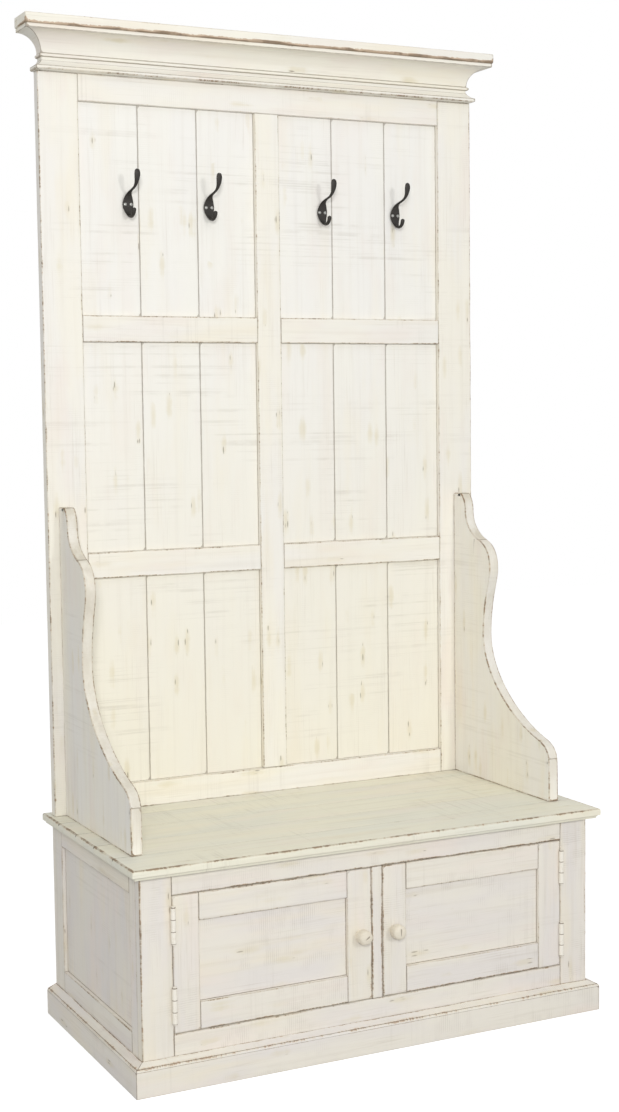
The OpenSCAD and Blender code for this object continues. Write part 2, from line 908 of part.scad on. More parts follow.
// Knuckles from each [start, end] in spans, with the leaf beside them at x0
module hinge_half(x0, spans) {
    plate_y = hinge_y + barrel_r + 1.5 * hinge_clear;
    difference() {
        union() {
            block([x0, plate_y, 0], [x0 + leaf_t, y_face + leaf_d, hinge_l]);
            for (span = spans) {
                translate([hinge_x, hinge_y, span[0]]) cylinder(h = span[1] - span[0], r = barrel_r);
                block([x0, hinge_y, span[0]], [x0 + leaf_t, plate_y + cut, span[1]]);
            }
        }
        translate([hinge_x, hinge_y, -cut])
            cylinder(h = hinge_l + 2 * cut, r = hinge_pin_r + pin_clear);
    }
}

module hinge_frame_leaves() {
    lower = [0, knuckle_l];
    upper = [hinge_l - knuckle_l, hinge_l];
    color(white) both_sides() at_hinges() difference() {
        hinge_half(hinge_x + leaf_clear, [lower, upper]);
        at_frame_leaf_screws() countersink();
    }
}

module hinge_pins() {
    button_h = 2.5;
    color(white) both_sides() at_hinges() translate([hinge_x, hinge_y, 0]) {
        cylinder(h = hinge_l, r = hinge_pin_r);
        translate([0, 0, hinge_l]) cylinder(h = button_h, r = finial_r);
        translate([0, 0, -button_h]) cylinder(h = button_h, r = finial_r);
    }
}

module hinge_frame_screws() {
    color(steel) both_sides() at_hinges() at_frame_leaf_screws()
        countersunk_screw(hinge_screw_l);
}

module door_catch() {
    color(white)
        block([-catch_w / 2, inner_front, catch_z - catch_h / 2],
              [catch_w / 2, inner_front + catch_d, catch_z + catch_h / 2]);
}

// ------------------------------------------------------------------- doors
// The right door is drawn; the left one mirrors it.

module at_door() {
    translate([open_x0 + door_gap, y_face, door_z]) children();
}

module right_door_stiles() {
    color(white) difference() {
        at_door() frame_stiles(door_w, door_h, door_t, door_stile_w, door_stile_w,
                               door_rail_w, door_h - door_rail_w, door_recess);
        at_hinges() door_leaf_pocket();
        at_hinges() at_door_leaf_screws() screw_hole(hinge_screw_l);
        translate([knob_x, y_face + knob_tenon_l, knob_z]) rotate([90, 0, 0])
            cylinder(h = knob_tenon_l + cut, r = knob_tenon_r + screw_clear);
    }
}

module right_door_rails() {
    color(white) at_door()
        frame_rails(door_w, door_t, door_stile_w, door_stile_w,
                    0, door_rail_w, door_h - door_rail_w, door_h, door_recess);
}

module right_door_panel() {
    color(white) at_door()
        panel_space(door_w, door_stile_w, door_stile_w,
                    door_rail_w, door_h - door_rail_w, door_recess, panel_play);
}

// A turned knob with a flared foot and a round-edged head, and its tenon
module right_door_knob() {
    edge_r = knob_reach * 0.29;
    color(white) translate([knob_x, y_face, knob_z]) rotate([90, 0, 0]) {
        rotate_extrude() {
            square([knob_neck_r, knob_reach - edge_r]);
            square([knob_neck_r + 2, 2]);
            translate([0, knob_reach - 2 * edge_r]) square([knob_r - edge_r, 2 * edge_r]);
            intersection() {
                translate([knob_r - edge_r, knob_reach - edge_r]) circle(r = edge_r);
                square([knob_r, knob_reach]);
            }
        }
        translate([0, 0, -knob_tenon_l]) cylinder(h = knob_tenon_l, r = knob_tenon_r);
    }
}

module right_door_leaves() {
    middle = [knuckle_l + hinge_clear, hinge_l - knuckle_l - hinge_clear];
    color(white) at_hinges() difference() {
        hinge_half(hinge_x - leaf_clear - leaf_t, [middle]);
        at_door_leaf_screws() countersink();
    }
}

module right_door_screws() {
    color(steel) at_hinges() at_door_leaf_screws() countersunk_screw(hinge_screw_l);
}

module right_door_strike() {
    color(steel)
        block([open_x0 + door_gap, y_face + door_t, catch_z - catch_h / 2],
              [open_x0 + door_gap + strike_w, y_face + door_t + strike_t, catch_z + catch_h / 2]);
}

module left_door_stiles() {
    mirror([1, 0, 0]) right_door_stiles();
}

module left_door_rails() {
    mirror([1, 0, 0]) right_door_rails();
}

module left_door_panel() {
    mirror([1, 0, 0]) right_door_panel();
}

module left_door_knob() {
    mirror([1, 0, 0]) right_door_knob();
}

module left_door_leaves() {
    mirror([1, 0, 0]) right_door_leaves();
}

module left_door_screws() {
    mirror([1, 0, 0]) right_door_screws();
}

module left_door_strike() {
    mirror([1, 0, 0]) right_door_strike();
}

// ---------------------------------------------------------------- assembly

plinth_front();
plinth_left();
plinth_right();
left_side_stiles();
left_side_rails();
left_side_panel();
right_side_stiles();
right_side_rails();
right_side_panel();
face_stiles();
face_top_rail();
face_bottom_rail();
face_mullion();
cabinet_floor();
cabinet_back();
floor_cleats();
seat_bearers();
seat_front_board();
seat_boards();
back_stile_left();
back_stile_right();
back_mullion();
back_top_rail();
back_bottom_rail();
back_mid_rails();
planks_left_bay();
planks_right_bay();
cornice_header();
cornice_board();
crown_front();
crown_returns();
neck_mould_front();
neck_mould_returns();
arm_left();
arm_right();
at_hook(hook_xs[0]) coat_hook();  // hook_1
at_hook(hook_xs[1]) coat_hook();  // hook_2
at_hook(hook_xs[2]) coat_hook();  // hook_3
at_hook(hook_xs[3]) coat_hook();  // hook_4
hook_screws();
back_brackets();
bracket_screws();
hinge_frame_leaves();
hinge_pins();
hinge_frame_screws();
door_catch();
left_door_stiles();
left_door_rails();
left_door_panel();
left_door_knob();
left_door_leaves();
left_door_screws();
left_door_strike();
right_door_stiles();
right_door_rails();
right_door_panel();
right_door_knob();
right_door_leaves();
right_door_screws();
right_door_strike();
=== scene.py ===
"""Looks of the hall tree: painted boards, mouldings, forged hooks and hinges, a camera and light.

Everything is in metres, in the part's own frame. Each wooden piece is remade from the outline
or the box of its CAD solid, with eased arrises. Its points carry what its paint depends on:

grain                  the place, as (along, across, through) the board
edge, joint            how far the nearest arris is, and the nearest joint or quirk
worn, dull             how much the arris is rubbed; grime, with painted shade on the arms, from 0
tone                   a random number from 0 to 1 for the whole piece
frame_low, frame_high  the corners of the opening that a panel shows in, in the grain's axes
"""

import math
import random

import bmesh
import bpy
from mathutils import Matrix, Vector, noise


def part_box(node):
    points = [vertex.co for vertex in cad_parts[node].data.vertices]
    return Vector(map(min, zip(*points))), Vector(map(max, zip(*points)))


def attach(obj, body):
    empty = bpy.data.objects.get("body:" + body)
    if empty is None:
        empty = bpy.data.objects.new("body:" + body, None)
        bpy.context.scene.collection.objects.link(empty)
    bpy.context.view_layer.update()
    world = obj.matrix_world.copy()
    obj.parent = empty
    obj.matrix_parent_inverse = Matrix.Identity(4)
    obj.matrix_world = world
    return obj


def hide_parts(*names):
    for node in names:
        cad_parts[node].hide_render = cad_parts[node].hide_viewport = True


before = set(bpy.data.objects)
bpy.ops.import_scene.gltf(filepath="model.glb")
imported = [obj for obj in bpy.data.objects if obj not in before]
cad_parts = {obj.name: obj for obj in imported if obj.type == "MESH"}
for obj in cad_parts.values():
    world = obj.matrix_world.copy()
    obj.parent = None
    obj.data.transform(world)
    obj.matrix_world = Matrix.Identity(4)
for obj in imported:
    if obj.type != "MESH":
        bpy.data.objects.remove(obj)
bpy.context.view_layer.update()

X, Y, Z = 0, 1, 2
MM = 0.001
TINY = 1e-6              # lengths under this count as none
FAR = 9                  # beyond every part of the object
EASE = 1.3 * MM          # radius of a hand-sanded arris
WORN_BAND = 7 * MM       # how far from an arris or a joint the distance is recorded
RING_STEP = 24 * MM      # spacing of the rings along a board
SIDES = {"left": -1, "right": 1}
rng = random.Random(11)

CABINET = "cabinet"
DOORS = {"left": "left_door", "right": "right_door"}


# ------------------------------------------------------------------ CAD solids

def solids(node):
    """The separate solids of a CAD node: lists of (corner places, faces), sorted by place."""
    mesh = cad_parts[node].data
    places, index, ids = [], {}, []
    for v in mesh.vertices:
        key = tuple(round(c, 6) for c in v.co)
        if key not in index:
            index[key] = len(places)
            places.append(Vector(v.co))
        ids.append(index[key])
    parent = list(range(len(places)))

    def root(i):
        while parent[i] != i:
            parent[i] = parent[parent[i]]
            i = parent[i]
        return i

    faces = [[ids[i] for i in p.vertices] for p in mesh.polygons]
    for face in faces:
        for i in face[1:]:
            parent[root(i)] = root(face[0])
    groups = {}
    for face in faces:
        groups.setdefault(root(face[0]), []).append(face)
    found = [(places, group) for group in groups.values()]
    return sorted(found, key=lambda s: tuple(round(c, 3) for c in solid_box(s)[0]))


def solid_box(solid):
    """The lowest and the highest corner of a solid's box."""
    places, faces = solid
    used = [places[i] for face in faces for i in face]
    low = Vector([min(p[k] for p in used) for k in range(3)])
    high = Vector([max(p[k] for p in used) for k in range(3)])
    return low, high


def end_outline(solid, axis):
    """The outline, seen along an axis, of the end where that axis is lowest.

    Points come in order, as (first, second) coordinates of the other two axes."""
    places, faces = solid
    facing = []    # the faces that look towards the low end
    for face in faces:
        a, b, c = (places[i] for i in face[:3])
        normal = (b - a).cross(c - a)
        if normal.length > 0 and normal.normalized()[axis] < -0.5:
            facing.append(face)
    lowest = min(places[i][axis] for face in facing for i in face)
    reached = {i for face in facing for i in face if places[i][axis] < lowest + 10 * TINY}
    group = []     # those of them that join up with the very end
    while facing:
        touching = [f for f in facing if reached & set(f)]
        if not touching:
            break
        group += touching
        reached |= {i for f in touching for i in f}
        facing = [f for f in facing if f not in touching]
    edges = set()  # the edges with a face on one side only
    for face in group:
        for i, j in zip(face, face[1:] + face[:1]):
            if (j, i) in edges:
                edges.remove((j, i))
            else:
                edges.add((i, j))
    following = dict(edges)
    start = min(following)
    loop, here = [], start
    while True:
        loop.append(places[here])
        here = following[here]
        if here == start:
            break
    first, second = [k for k in range(3) if k != axis]
    return straightened([Vector((p[first], p[second])) for p in loop])


def straightened(points):
    """The same closed outline, anticlockwise, without points in the middle of straight lines."""
    area = sum(p.x * q.y - q.x * p.y for p, q in zip(points, points[1:] + points[:1]))
    if area < 0:
        points = points[::-1]
    kept = []
    for i, p in enumerate(points):
        before, after = points[i - 1], points[(i + 1) % len(points)]
        a, b = p - before, after - p
        if min(a.length, b.length) > TINY and abs(a.cross(b)) > 1e-3 * a.length * b.length:
            kept.append(p)
    return kept


def rectangle(low, high, axis):
    """The outline, seen along an axis, of the box between two corners."""
    first, second = [k for k in range(3) if k != axis]
    a0, a1, b0, b1 = low[first], high[first], low[second], high[second]
    return [Vector(p) for p in ((a0, b0), (a1, b0), (a1, b1), (a0, b1))]


# -------------------------------------------------------------------- lofting

CORNER = math.radians(24)    # a turn that is sharper than this is an arris or a quirk
CURVE_STEP = 60 * MM         # the points of a curve are closer together than this


def turns(points):
    """For each point of a closed outline: its turn, positive where the outline is convex."""
    found = []
    for i, p in enumerate(points):
        before, after = p - points[i - 1], points[(i + 1) % len(points)] - p
        found.append(math.atan2(before.cross(after), before.dot(after)))
    return found


def smoothed(points):
    """A closed outline with a point added in the middle of each short piece of a curve."""
    sharp = [abs(t) > CORNER for t in turns(points)]
    count = len(points)
    result = []
    for i, p in enumerate(points):
        j, k = (i + 1) % count, (i + 2) % count
        result.append(p)
        q = points[j]
        if not sharp[i] and not sharp[j] and (q - p).length < CURVE_STEP:
            result.append((9 * (p + q) - points[i - 1] - points[k]) / 16)
    return result


def softened(points, limit, cut):
    """A closed outline with its blunt corners, up to a limit in radians, cut off."""
    result = []
    for i, (p, turn) in enumerate(zip(points, turns(points))):
        before, after = points[i - 1] - p, points[(i + 1) % len(points)] - p
        if CORNER < abs(turn) < limit:
            step = min(cut, 0.3 * before.length, 0.3 * after.length)
            result += [p + before.normalized() * step, p + after.normalized() * step]
        else:
            result.append(p)
    return result


SHARPEST = 0.35    # keeps a very sharp corner from moving much further than its sides


def offset_outline(points, amount):
    """The outline moved inwards by an amount, with its corners kept sharp."""
    moved = []
    count = len(points)
    for i, p in enumerate(points):
        before = (p - points[i - 1]).normalized()
        after = (points[(i + 1) % count] - p).normalized()
        inward = Vector((-before.y - after.y, before.x + after.x))
        inward.normalize()
        share = max(SHARPEST, inward.dot(Vector((-after.y, after.x))))
        moved.append(p + inward * amount / share)
    return moved


# The most that an arris, a quirk and the band of wear take of the shorter side beside them.
ARRIS_SHARE, QUIRK_SHARE, BAND_SHARE = 0.35, 0.02, 0.45
ARC = 0.0, 0.33, 0.67, 1.0    # where the points of a rounded corner lie on its curve


def eased_ring(points, sharp, ease):
    """The outline with its arrises rounded: (point, arris distance, quirk distance, corner).

    sharp gives each point's turn in the unmoved outline, and ease(corner) the radius. An arris
    is a sharp convex corner and a quirk a sharp hollow one."""
    ring = []
    corner = -1
    for i, p in enumerate(points):
        if abs(sharp[i]) < CORNER:
            ring.append((p, WORN_BAND, WORN_BAND, max(0, corner)))
            continue
        corner += 1
        before, after = points[i - 1] - p, points[(i + 1) % len(points)] - p
        room = min(before.length, after.length)
        convex = sharp[i] > 0
        radius = min(ease(corner), ARRIS_SHARE * room) if convex else QUIRK_SHARE * room
        band = min(WORN_BAND, BAND_SHARE * room)
        before.normalize()
        after.normalize()
        arris, quirk = (0.0, band) if convex else (band, 0.0)
        ring.append((p + before * band, band, band, corner))
        for t in ARC:
            arc = (1 - t) ** 2 * (p + before * radius) + 2 * t * (1 - t) * p
            ring.append((arc + t * t * (p + after * radius), arris, quirk, corner))
        ring.append((p + after * band, band, band, corner))
    return ring


class Loft:
    """A closed skin through rings of places, with the attributes of each place."""

    def __init__(self):
        self.places, self.rings = [], []
        self.values = {"edge": [], "joint": [], "worn": [], "dull": []}

    def ring(self, places, edge, joint, worn, dull=None):
        start = len(self.places)
        self.places += places
        dull = dull or [0.0] * len(places)
        for key, numbers in zip(self.values, (edge, joint, worn, dull)):
            self.values[key] += numbers
        self.rings.append(range(start, len(self.places)))

    def mesh(self, name, flip=False):
        """The skin with its two ends closed. flip turns it the right way out."""
        faces = []
        for low, high in zip(self.rings, self.rings[1:]):
            count = len(low)
            for i in range(count):
                j = (i + 1) % count
                faces.append((low[i], low[j], high[j], high[i]))
        faces += [tuple(reversed(self.rings[0])), tuple(self.rings[-1])]
        if flip:
            faces = [tuple(reversed(face)) for face in faces]
        data = bpy.data.meshes.new(name)
        data.from_pydata([tuple(p) for p in self.places], [], faces)
        return data


def wander(place, scale):
    """A smooth pseudo-random number about 0 at a place."""
    return noise.noise(Vector(place) * scale)


NO_FRAME = Vector((-FAR, -FAR, -FAR)), Vector((FAR, FAR, FAR))
SHARP_EDGE = 40    # the angle, in degrees, from which an edge is shaded as one


def finished(name, data, values, grain_axis, body, nodes, material, sharp=SHARP_EDGE,
             opening=NO_FRAME):
    """Makes the object of a mesh: its attributes, shading, material, body and CAD nodes.

    opening is the box of the opening that a panel shows in."""
    tone = rng.uniform(0, 1)
    across, through = [k for k in range(3) if k != grain_axis]
    grain = data.attributes.new("grain", "FLOAT_VECTOR", "POINT")
    for i, v in enumerate(data.vertices):
        grain.data[i].vector = (v.co[grain_axis], v.co[across], v.co[through])
    count = len(data.vertices)
    for key, place in zip(("frame_low", "frame_high"), opening):
        limit = [place[k] for k in (grain_axis, across, through)]
        data.attributes.new(key, "FLOAT_VECTOR", "POINT").data.foreach_set("vector", limit * count)
    for key, numbers in {**values, "tone": [tone] * count}.items():
        data.attributes.new(key, "FLOAT", "POINT").data.foreach_set("value", numbers)
    obj = bpy.data.objects.new(name, data)
    bpy.context.scene.collection.objects.link(obj)
    data.materials.append(material)
    data.shade_smooth()
    data.set_sharp_from_angle(angle=math.radians(sharp))
    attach(obj, body)
    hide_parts(*nodes)
    return obj


# A rounded ridge: how near it counts as an arris at its top, and half its width.
RIDGE_LEAST, RIDGE_HALF = 0.85 * MM, 1.2 * MM
EASE_SWINGS = 34    # how fast the radius of an arris varies along it, per metre


def prism(name, outline, axis, low, high, body, nodes, material, grain_axis=None,
          ease=EASE, wear=0.6, butt=(False, False), mitre=(None, None), cap_ring=True,
          seams=(), ridge=None, moulding=False, opening=NO_FRAME, crossings=(),
          grooves=(), dull=None):
    """A board or moulding: an outline carried along an axis, with eased arrises and ends.

    wear says how much the arrises are rubbed: one number, one for each sharp corner, or a
    function of the corner's place. butt says which ends meet another board in a close joint.
    mitre holds, for each end, a shift of its points by their own place in the outline. seams
    numbers the corners that meet another board, and ridge is a rounded place that is rubbed. A
    moulding has fine members, so its ends are cut square. opening is the box of the opening
    that a panel shows in, and crossings are the places along the board where the edge of
    another one lies on its front. grooves are heights of glazed lines along the piece. dull
    gives, for a place in the outline, how much grime and painted shade the sides have there."""
    first, second = [k for k in range(3) if k != axis]
    seed = Vector([rng.uniform(0, 50) for _ in range(3)])
    length = high - low
    sizes = [max(p[k] for p in outline) - min(p[k] for p in outline) for k in range(2)]
    band = min(WORN_BAND, 0.3 * min(sizes), 0.3 * length)
    sharp = turns(outline)
    corners = [p for p, turn in zip(outline, sharp) if abs(turn) >= CORNER] or [outline[0]]
    if callable(wear):
        wear_at = [wear(p) for p in corners]
    else:
        wear_at = wear if isinstance(wear, tuple) else (wear,) * len(corners)
    middle = sum(p[1] for p in corners) / len(corners)
    loft = Loft()

    def add(along, inset, gap, butted, crossing=False):
        """One ring, with its outline moved in by inset. gap is how far the end or crossing is."""
        def radius(corner):
            rubbed = wear_at[corner]
            spot = seed + Vector((along, 3 * corner, 0))
            uneven = 1.0 + (0.5 + 0.7 * rubbed) * wander(spot, EASE_SWINGS)
            return ease * max(0.3, uneven) * (0.7 + 0.4 * rubbed)

        ring = eased_ring(offset_outline(outline, inset) if inset else outline, sharp, radius)
        share = (along - low) / length
        places, edge, joint, worn, dulls = [], [], [], [], []
        for p, arris, quirk, corner in ring:
            here = [0.0, 0.0, 0.0]
            here[first], here[second] = p
            shift = [move(p) if move else 0.0 for move in mitre]
            here[axis] = along + (1 - share) * shift[0] + share * shift[1]
            places.append(Vector(here))
            near = WORN_BAND if corner in seams else arris
            if ridge:
                near = min(near, max(RIDGE_LEAST, (p - ridge).length - RIDGE_HALF))
            line = min(quirk, arris) if corner in seams else quirk
            if inset >= band:
                near, line = (WORN_BAND, WORN_BAND) if butted else (band, WORN_BAND)
            line = min([line] + [abs(p[1] - height) for height in grooves])
            edge.append(near if butted or crossing else min(near, gap))
            # Where a rail's edge crosses a plank, the line is glaze and painted shade.
            crossed = crossing and p[1] < middle
            joint.append(min(line, gap) if butted or crossed else line)
            worn.append(wear_at[corner])
            dulls.append(dull(p) if dull and inset == 0 else 0.0)
        loft.ring(places, edge, joint, worn, dulls)

    def end(side):
        """The rings of one end, from its face inwards: what add needs for each."""
        sign, start = (1, low) if side == 0 else (-1, high)
        if moulding:
            rings = [(0.0, 0.0, 0.0)]
        else:
            soft = min(0.3 * ease if butt[side] else ease, 0.25 * band)
            rings = [(0.0, band, band)] if cap_ring else []
            rings += [(0.0, soft, 0.0), (0.3 * soft, 0.3 * soft, 0.0), (soft, 0.0, 0.0)]
        rings.append((band, 0.0, band))
        butted = butt[side] or bool(mitre[side])
        return [(start + sign * along, inset, gap, butted) for along, inset, gap in rings]

    steps = max(1, round((length - 2 * band) / RING_STEP))
    rings = [(low + band + (length - 2 * band) * k / steps, WORN_BAND) for k in range(1, steps)]
    rings = [r for r in rings if all(abs(r[0] - c) > 1.2 * WORN_BAND for c in crossings)]
    rings += [(c + gap, abs(gap)) for c in crossings for gap in (-WORN_BAND, 0.0, WORN_BAND)]
    for ring in end(0):
        add(*ring)
    for along, gap in sorted(rings):
        add(along, 0.0, gap, False, gap < WORN_BAND)
    for ring in reversed(end(1)):
        add(*ring)
    data = loft.mesh(name, flip=(axis == Y))
    grain_axis = axis if grain_axis is None else grain_axis
    return finished(name, data, loft.values, grain_axis, body, nodes, material, opening=opening)


def board(name, box, axis, body, nodes, material, **options):
    """A plain board: a box with eased arrises, its grain along an axis.

    Its four arrises are numbered round from the one at the two low sides."""
    low, high = box
    outline = rectangle(low, high, axis)
    return prism(name, outline, axis, low[axis], high[axis], body, nodes, material, **options)


# ------------------------------------------------------------------- materials

SCATTER = 60.0, 78.6, 103.8    # how far a piece's random number moves it in the noises


class Tree:
    """A short way to write a node tree. Most methods give the socket that holds the result."""

    def __init__(self, tree):
        self.tree = tree
        tree.nodes.clear()

    def node(self, kind, inputs=None, **settings):
        """A new node. inputs holds a number, a colour or another node's socket for each name."""
        made = self.tree.nodes.new("ShaderNode" + kind)
        for key, value in settings.items():
            setattr(made, key, value)
        for key, value in (inputs or {}).items():
            self.put(made.inputs[key], value)
        return made

    def put(self, socket, value):
        if isinstance(value, bpy.types.NodeSocket):
            self.tree.links.new(value, socket)
        else:
            socket.default_value = value

    def math(self, operation, a, b=0.0):
        return self.node("Math", {0: a, 1: b}, operation=operation).outputs[0]

    def fold(self, operation, terms):
        result = terms[0]
        for term in terms[1:]:
            result = self.math(operation, result, term)
        return result

    def total(self, *terms):
        return self.fold("ADD", terms)

    def product(self, *terms):
        return self.fold("MULTIPLY", terms)

    def least(self, *terms):
        return self.fold("MINIMUM", terms)

    def mix(self, share, a, b):
        return self.node("Mix", {"Factor": share, 6: a, 7: b}, data_type="RGBA").outputs[2]

    def tint(self, colour, towards, value, start, end, share=1.0):
        """The colour moved towards another: not at all where value is start, a share at end."""
        return self.mix(self.ramp(value, start, end, 0.0, share), colour, towards)

    def swing(self, value, reach):
        """A noise as a length that swings about 0, by up to half of reach."""
        return self.product(self.math("SUBTRACT", value, 0.5), reach)

    def vector(self, operation, *terms):
        inputs = dict(enumerate(terms))
        return self.node("VectorMath", inputs, operation=operation).outputs[0]

    def split(self, vector):
        """The three components of a vector."""
        return self.node("SeparateXYZ", {0: vector}).outputs

    def attribute(self, name, output="Fac"):
        return self.node("Attribute", attribute_name=name).outputs[output]

    def scattered(self, vector, number):
        """The vector moved by a number that differs from piece to piece."""
        return self.vector("MULTIPLY_ADD", number, SCATTER, vector)

    def scaled(self, vector, scale, shift):
        inputs = {"Vector": vector, "Location": shift, "Scale": scale}
        return self.node("Mapping", inputs).outputs[0]

    def noise(self, vector, scale, shift=(0, 0, 0), detail=2.0, roughness=0.5, distortion=0.0):
        """Noise from 0 to 1. scale says how fast it varies in each direction, per metre."""
        return self.node("TexNoise", {
            "Vector": self.scaled(vector, scale, shift), "Scale": 1.0, "Detail": detail,
            "Roughness": roughness, "Distortion": distortion}).outputs["Fac"]

    def cells(self, vector, scale, shift=(0, 0, 0)):
        """Distance to the nearest scattered point, and a random number for each point."""
        inputs = {"Vector": self.scaled(vector, scale, shift), "Scale": 1.0}
        found = self.node("TexVoronoi", inputs).outputs
        return found["Distance"], self.split(found["Color"])[0]

    def ramp(self, value, start, end, low=0.0, high=1.0):
        """A smooth step: low where value is start, high where it is end."""
        return self.node("MapRange", {"Value": value, "From Min": start, "From Max": end,
                                      "To Min": low, "To Max": high},
                         interpolation_type="SMOOTHSTEP").outputs[0]


class Material(Tree):
    """A new material with a Principled shader."""

    def __init__(self, name):
        self.material = bpy.data.materials.new(name)
        self.material.use_nodes = True
        super().__init__(self.material.node_tree)
        shader = self.node("BsdfPrincipled")
        self.inputs = shader.inputs
        self.node("OutputMaterial", {"Surface": shader.outputs[0]})

    def set(self, **values):
        """Sets the shader's inputs, whose names are written with _ for a space."""
        for key, value in values.items():
            self.put(self.inputs[key.replace("_", " ")], value)

    def bump(self, height, distance):
        self.set(Normal=self.node("Bump", {"Height": height, "Distance": distance}).outputs[0])


def srgb(red, green, blue):
    """A colour written as it looks on a screen, 0 to 255, in the renderer's linear numbers."""
    linear = []
    for c in (red, green, blue):
        c /= 255
        linear.append(c / 12.92 if c <= 0.04045 else ((c + 0.055) / 1.055) ** 2.4)
    return (*linear, 1.0)


WHITE = (1.0, 1.0, 1.0, 1.0)

# What shows through the paint, in it or on it.
BARE_DARK = srgb(122, 96, 70)
BARE = srgb(162, 132, 102)
BARE_PINK = srgb(200, 170, 144)
BARE_RIM = srgb(214, 194, 156)
ARRIS = srgb(118, 100, 80)
GLAZE = srgb(176, 162, 138)
BLUSH = srgb(238, 226, 217)
STRAW = srgb(240, 230, 206)
CREAM = srgb(238, 231, 206)
# Grime on the arms, and painted shade there.
DIRT_AND_SHADE = srgb(217, 210, 194)
SAWDUST = srgb(160, 150, 132)
KNOT = srgb(212, 198, 152)
KNOT_CORE = srgb(118, 102, 80)
LINE = srgb(134, 120, 100)
DARK_LINE = srgb(124, 108, 92)


CREAM_HEIGHTS = 1.7, 0.45    # between these heights the paint turns from white to cream
COMB_STEP = 4.4 * MM        # spacing of the fine saw marks


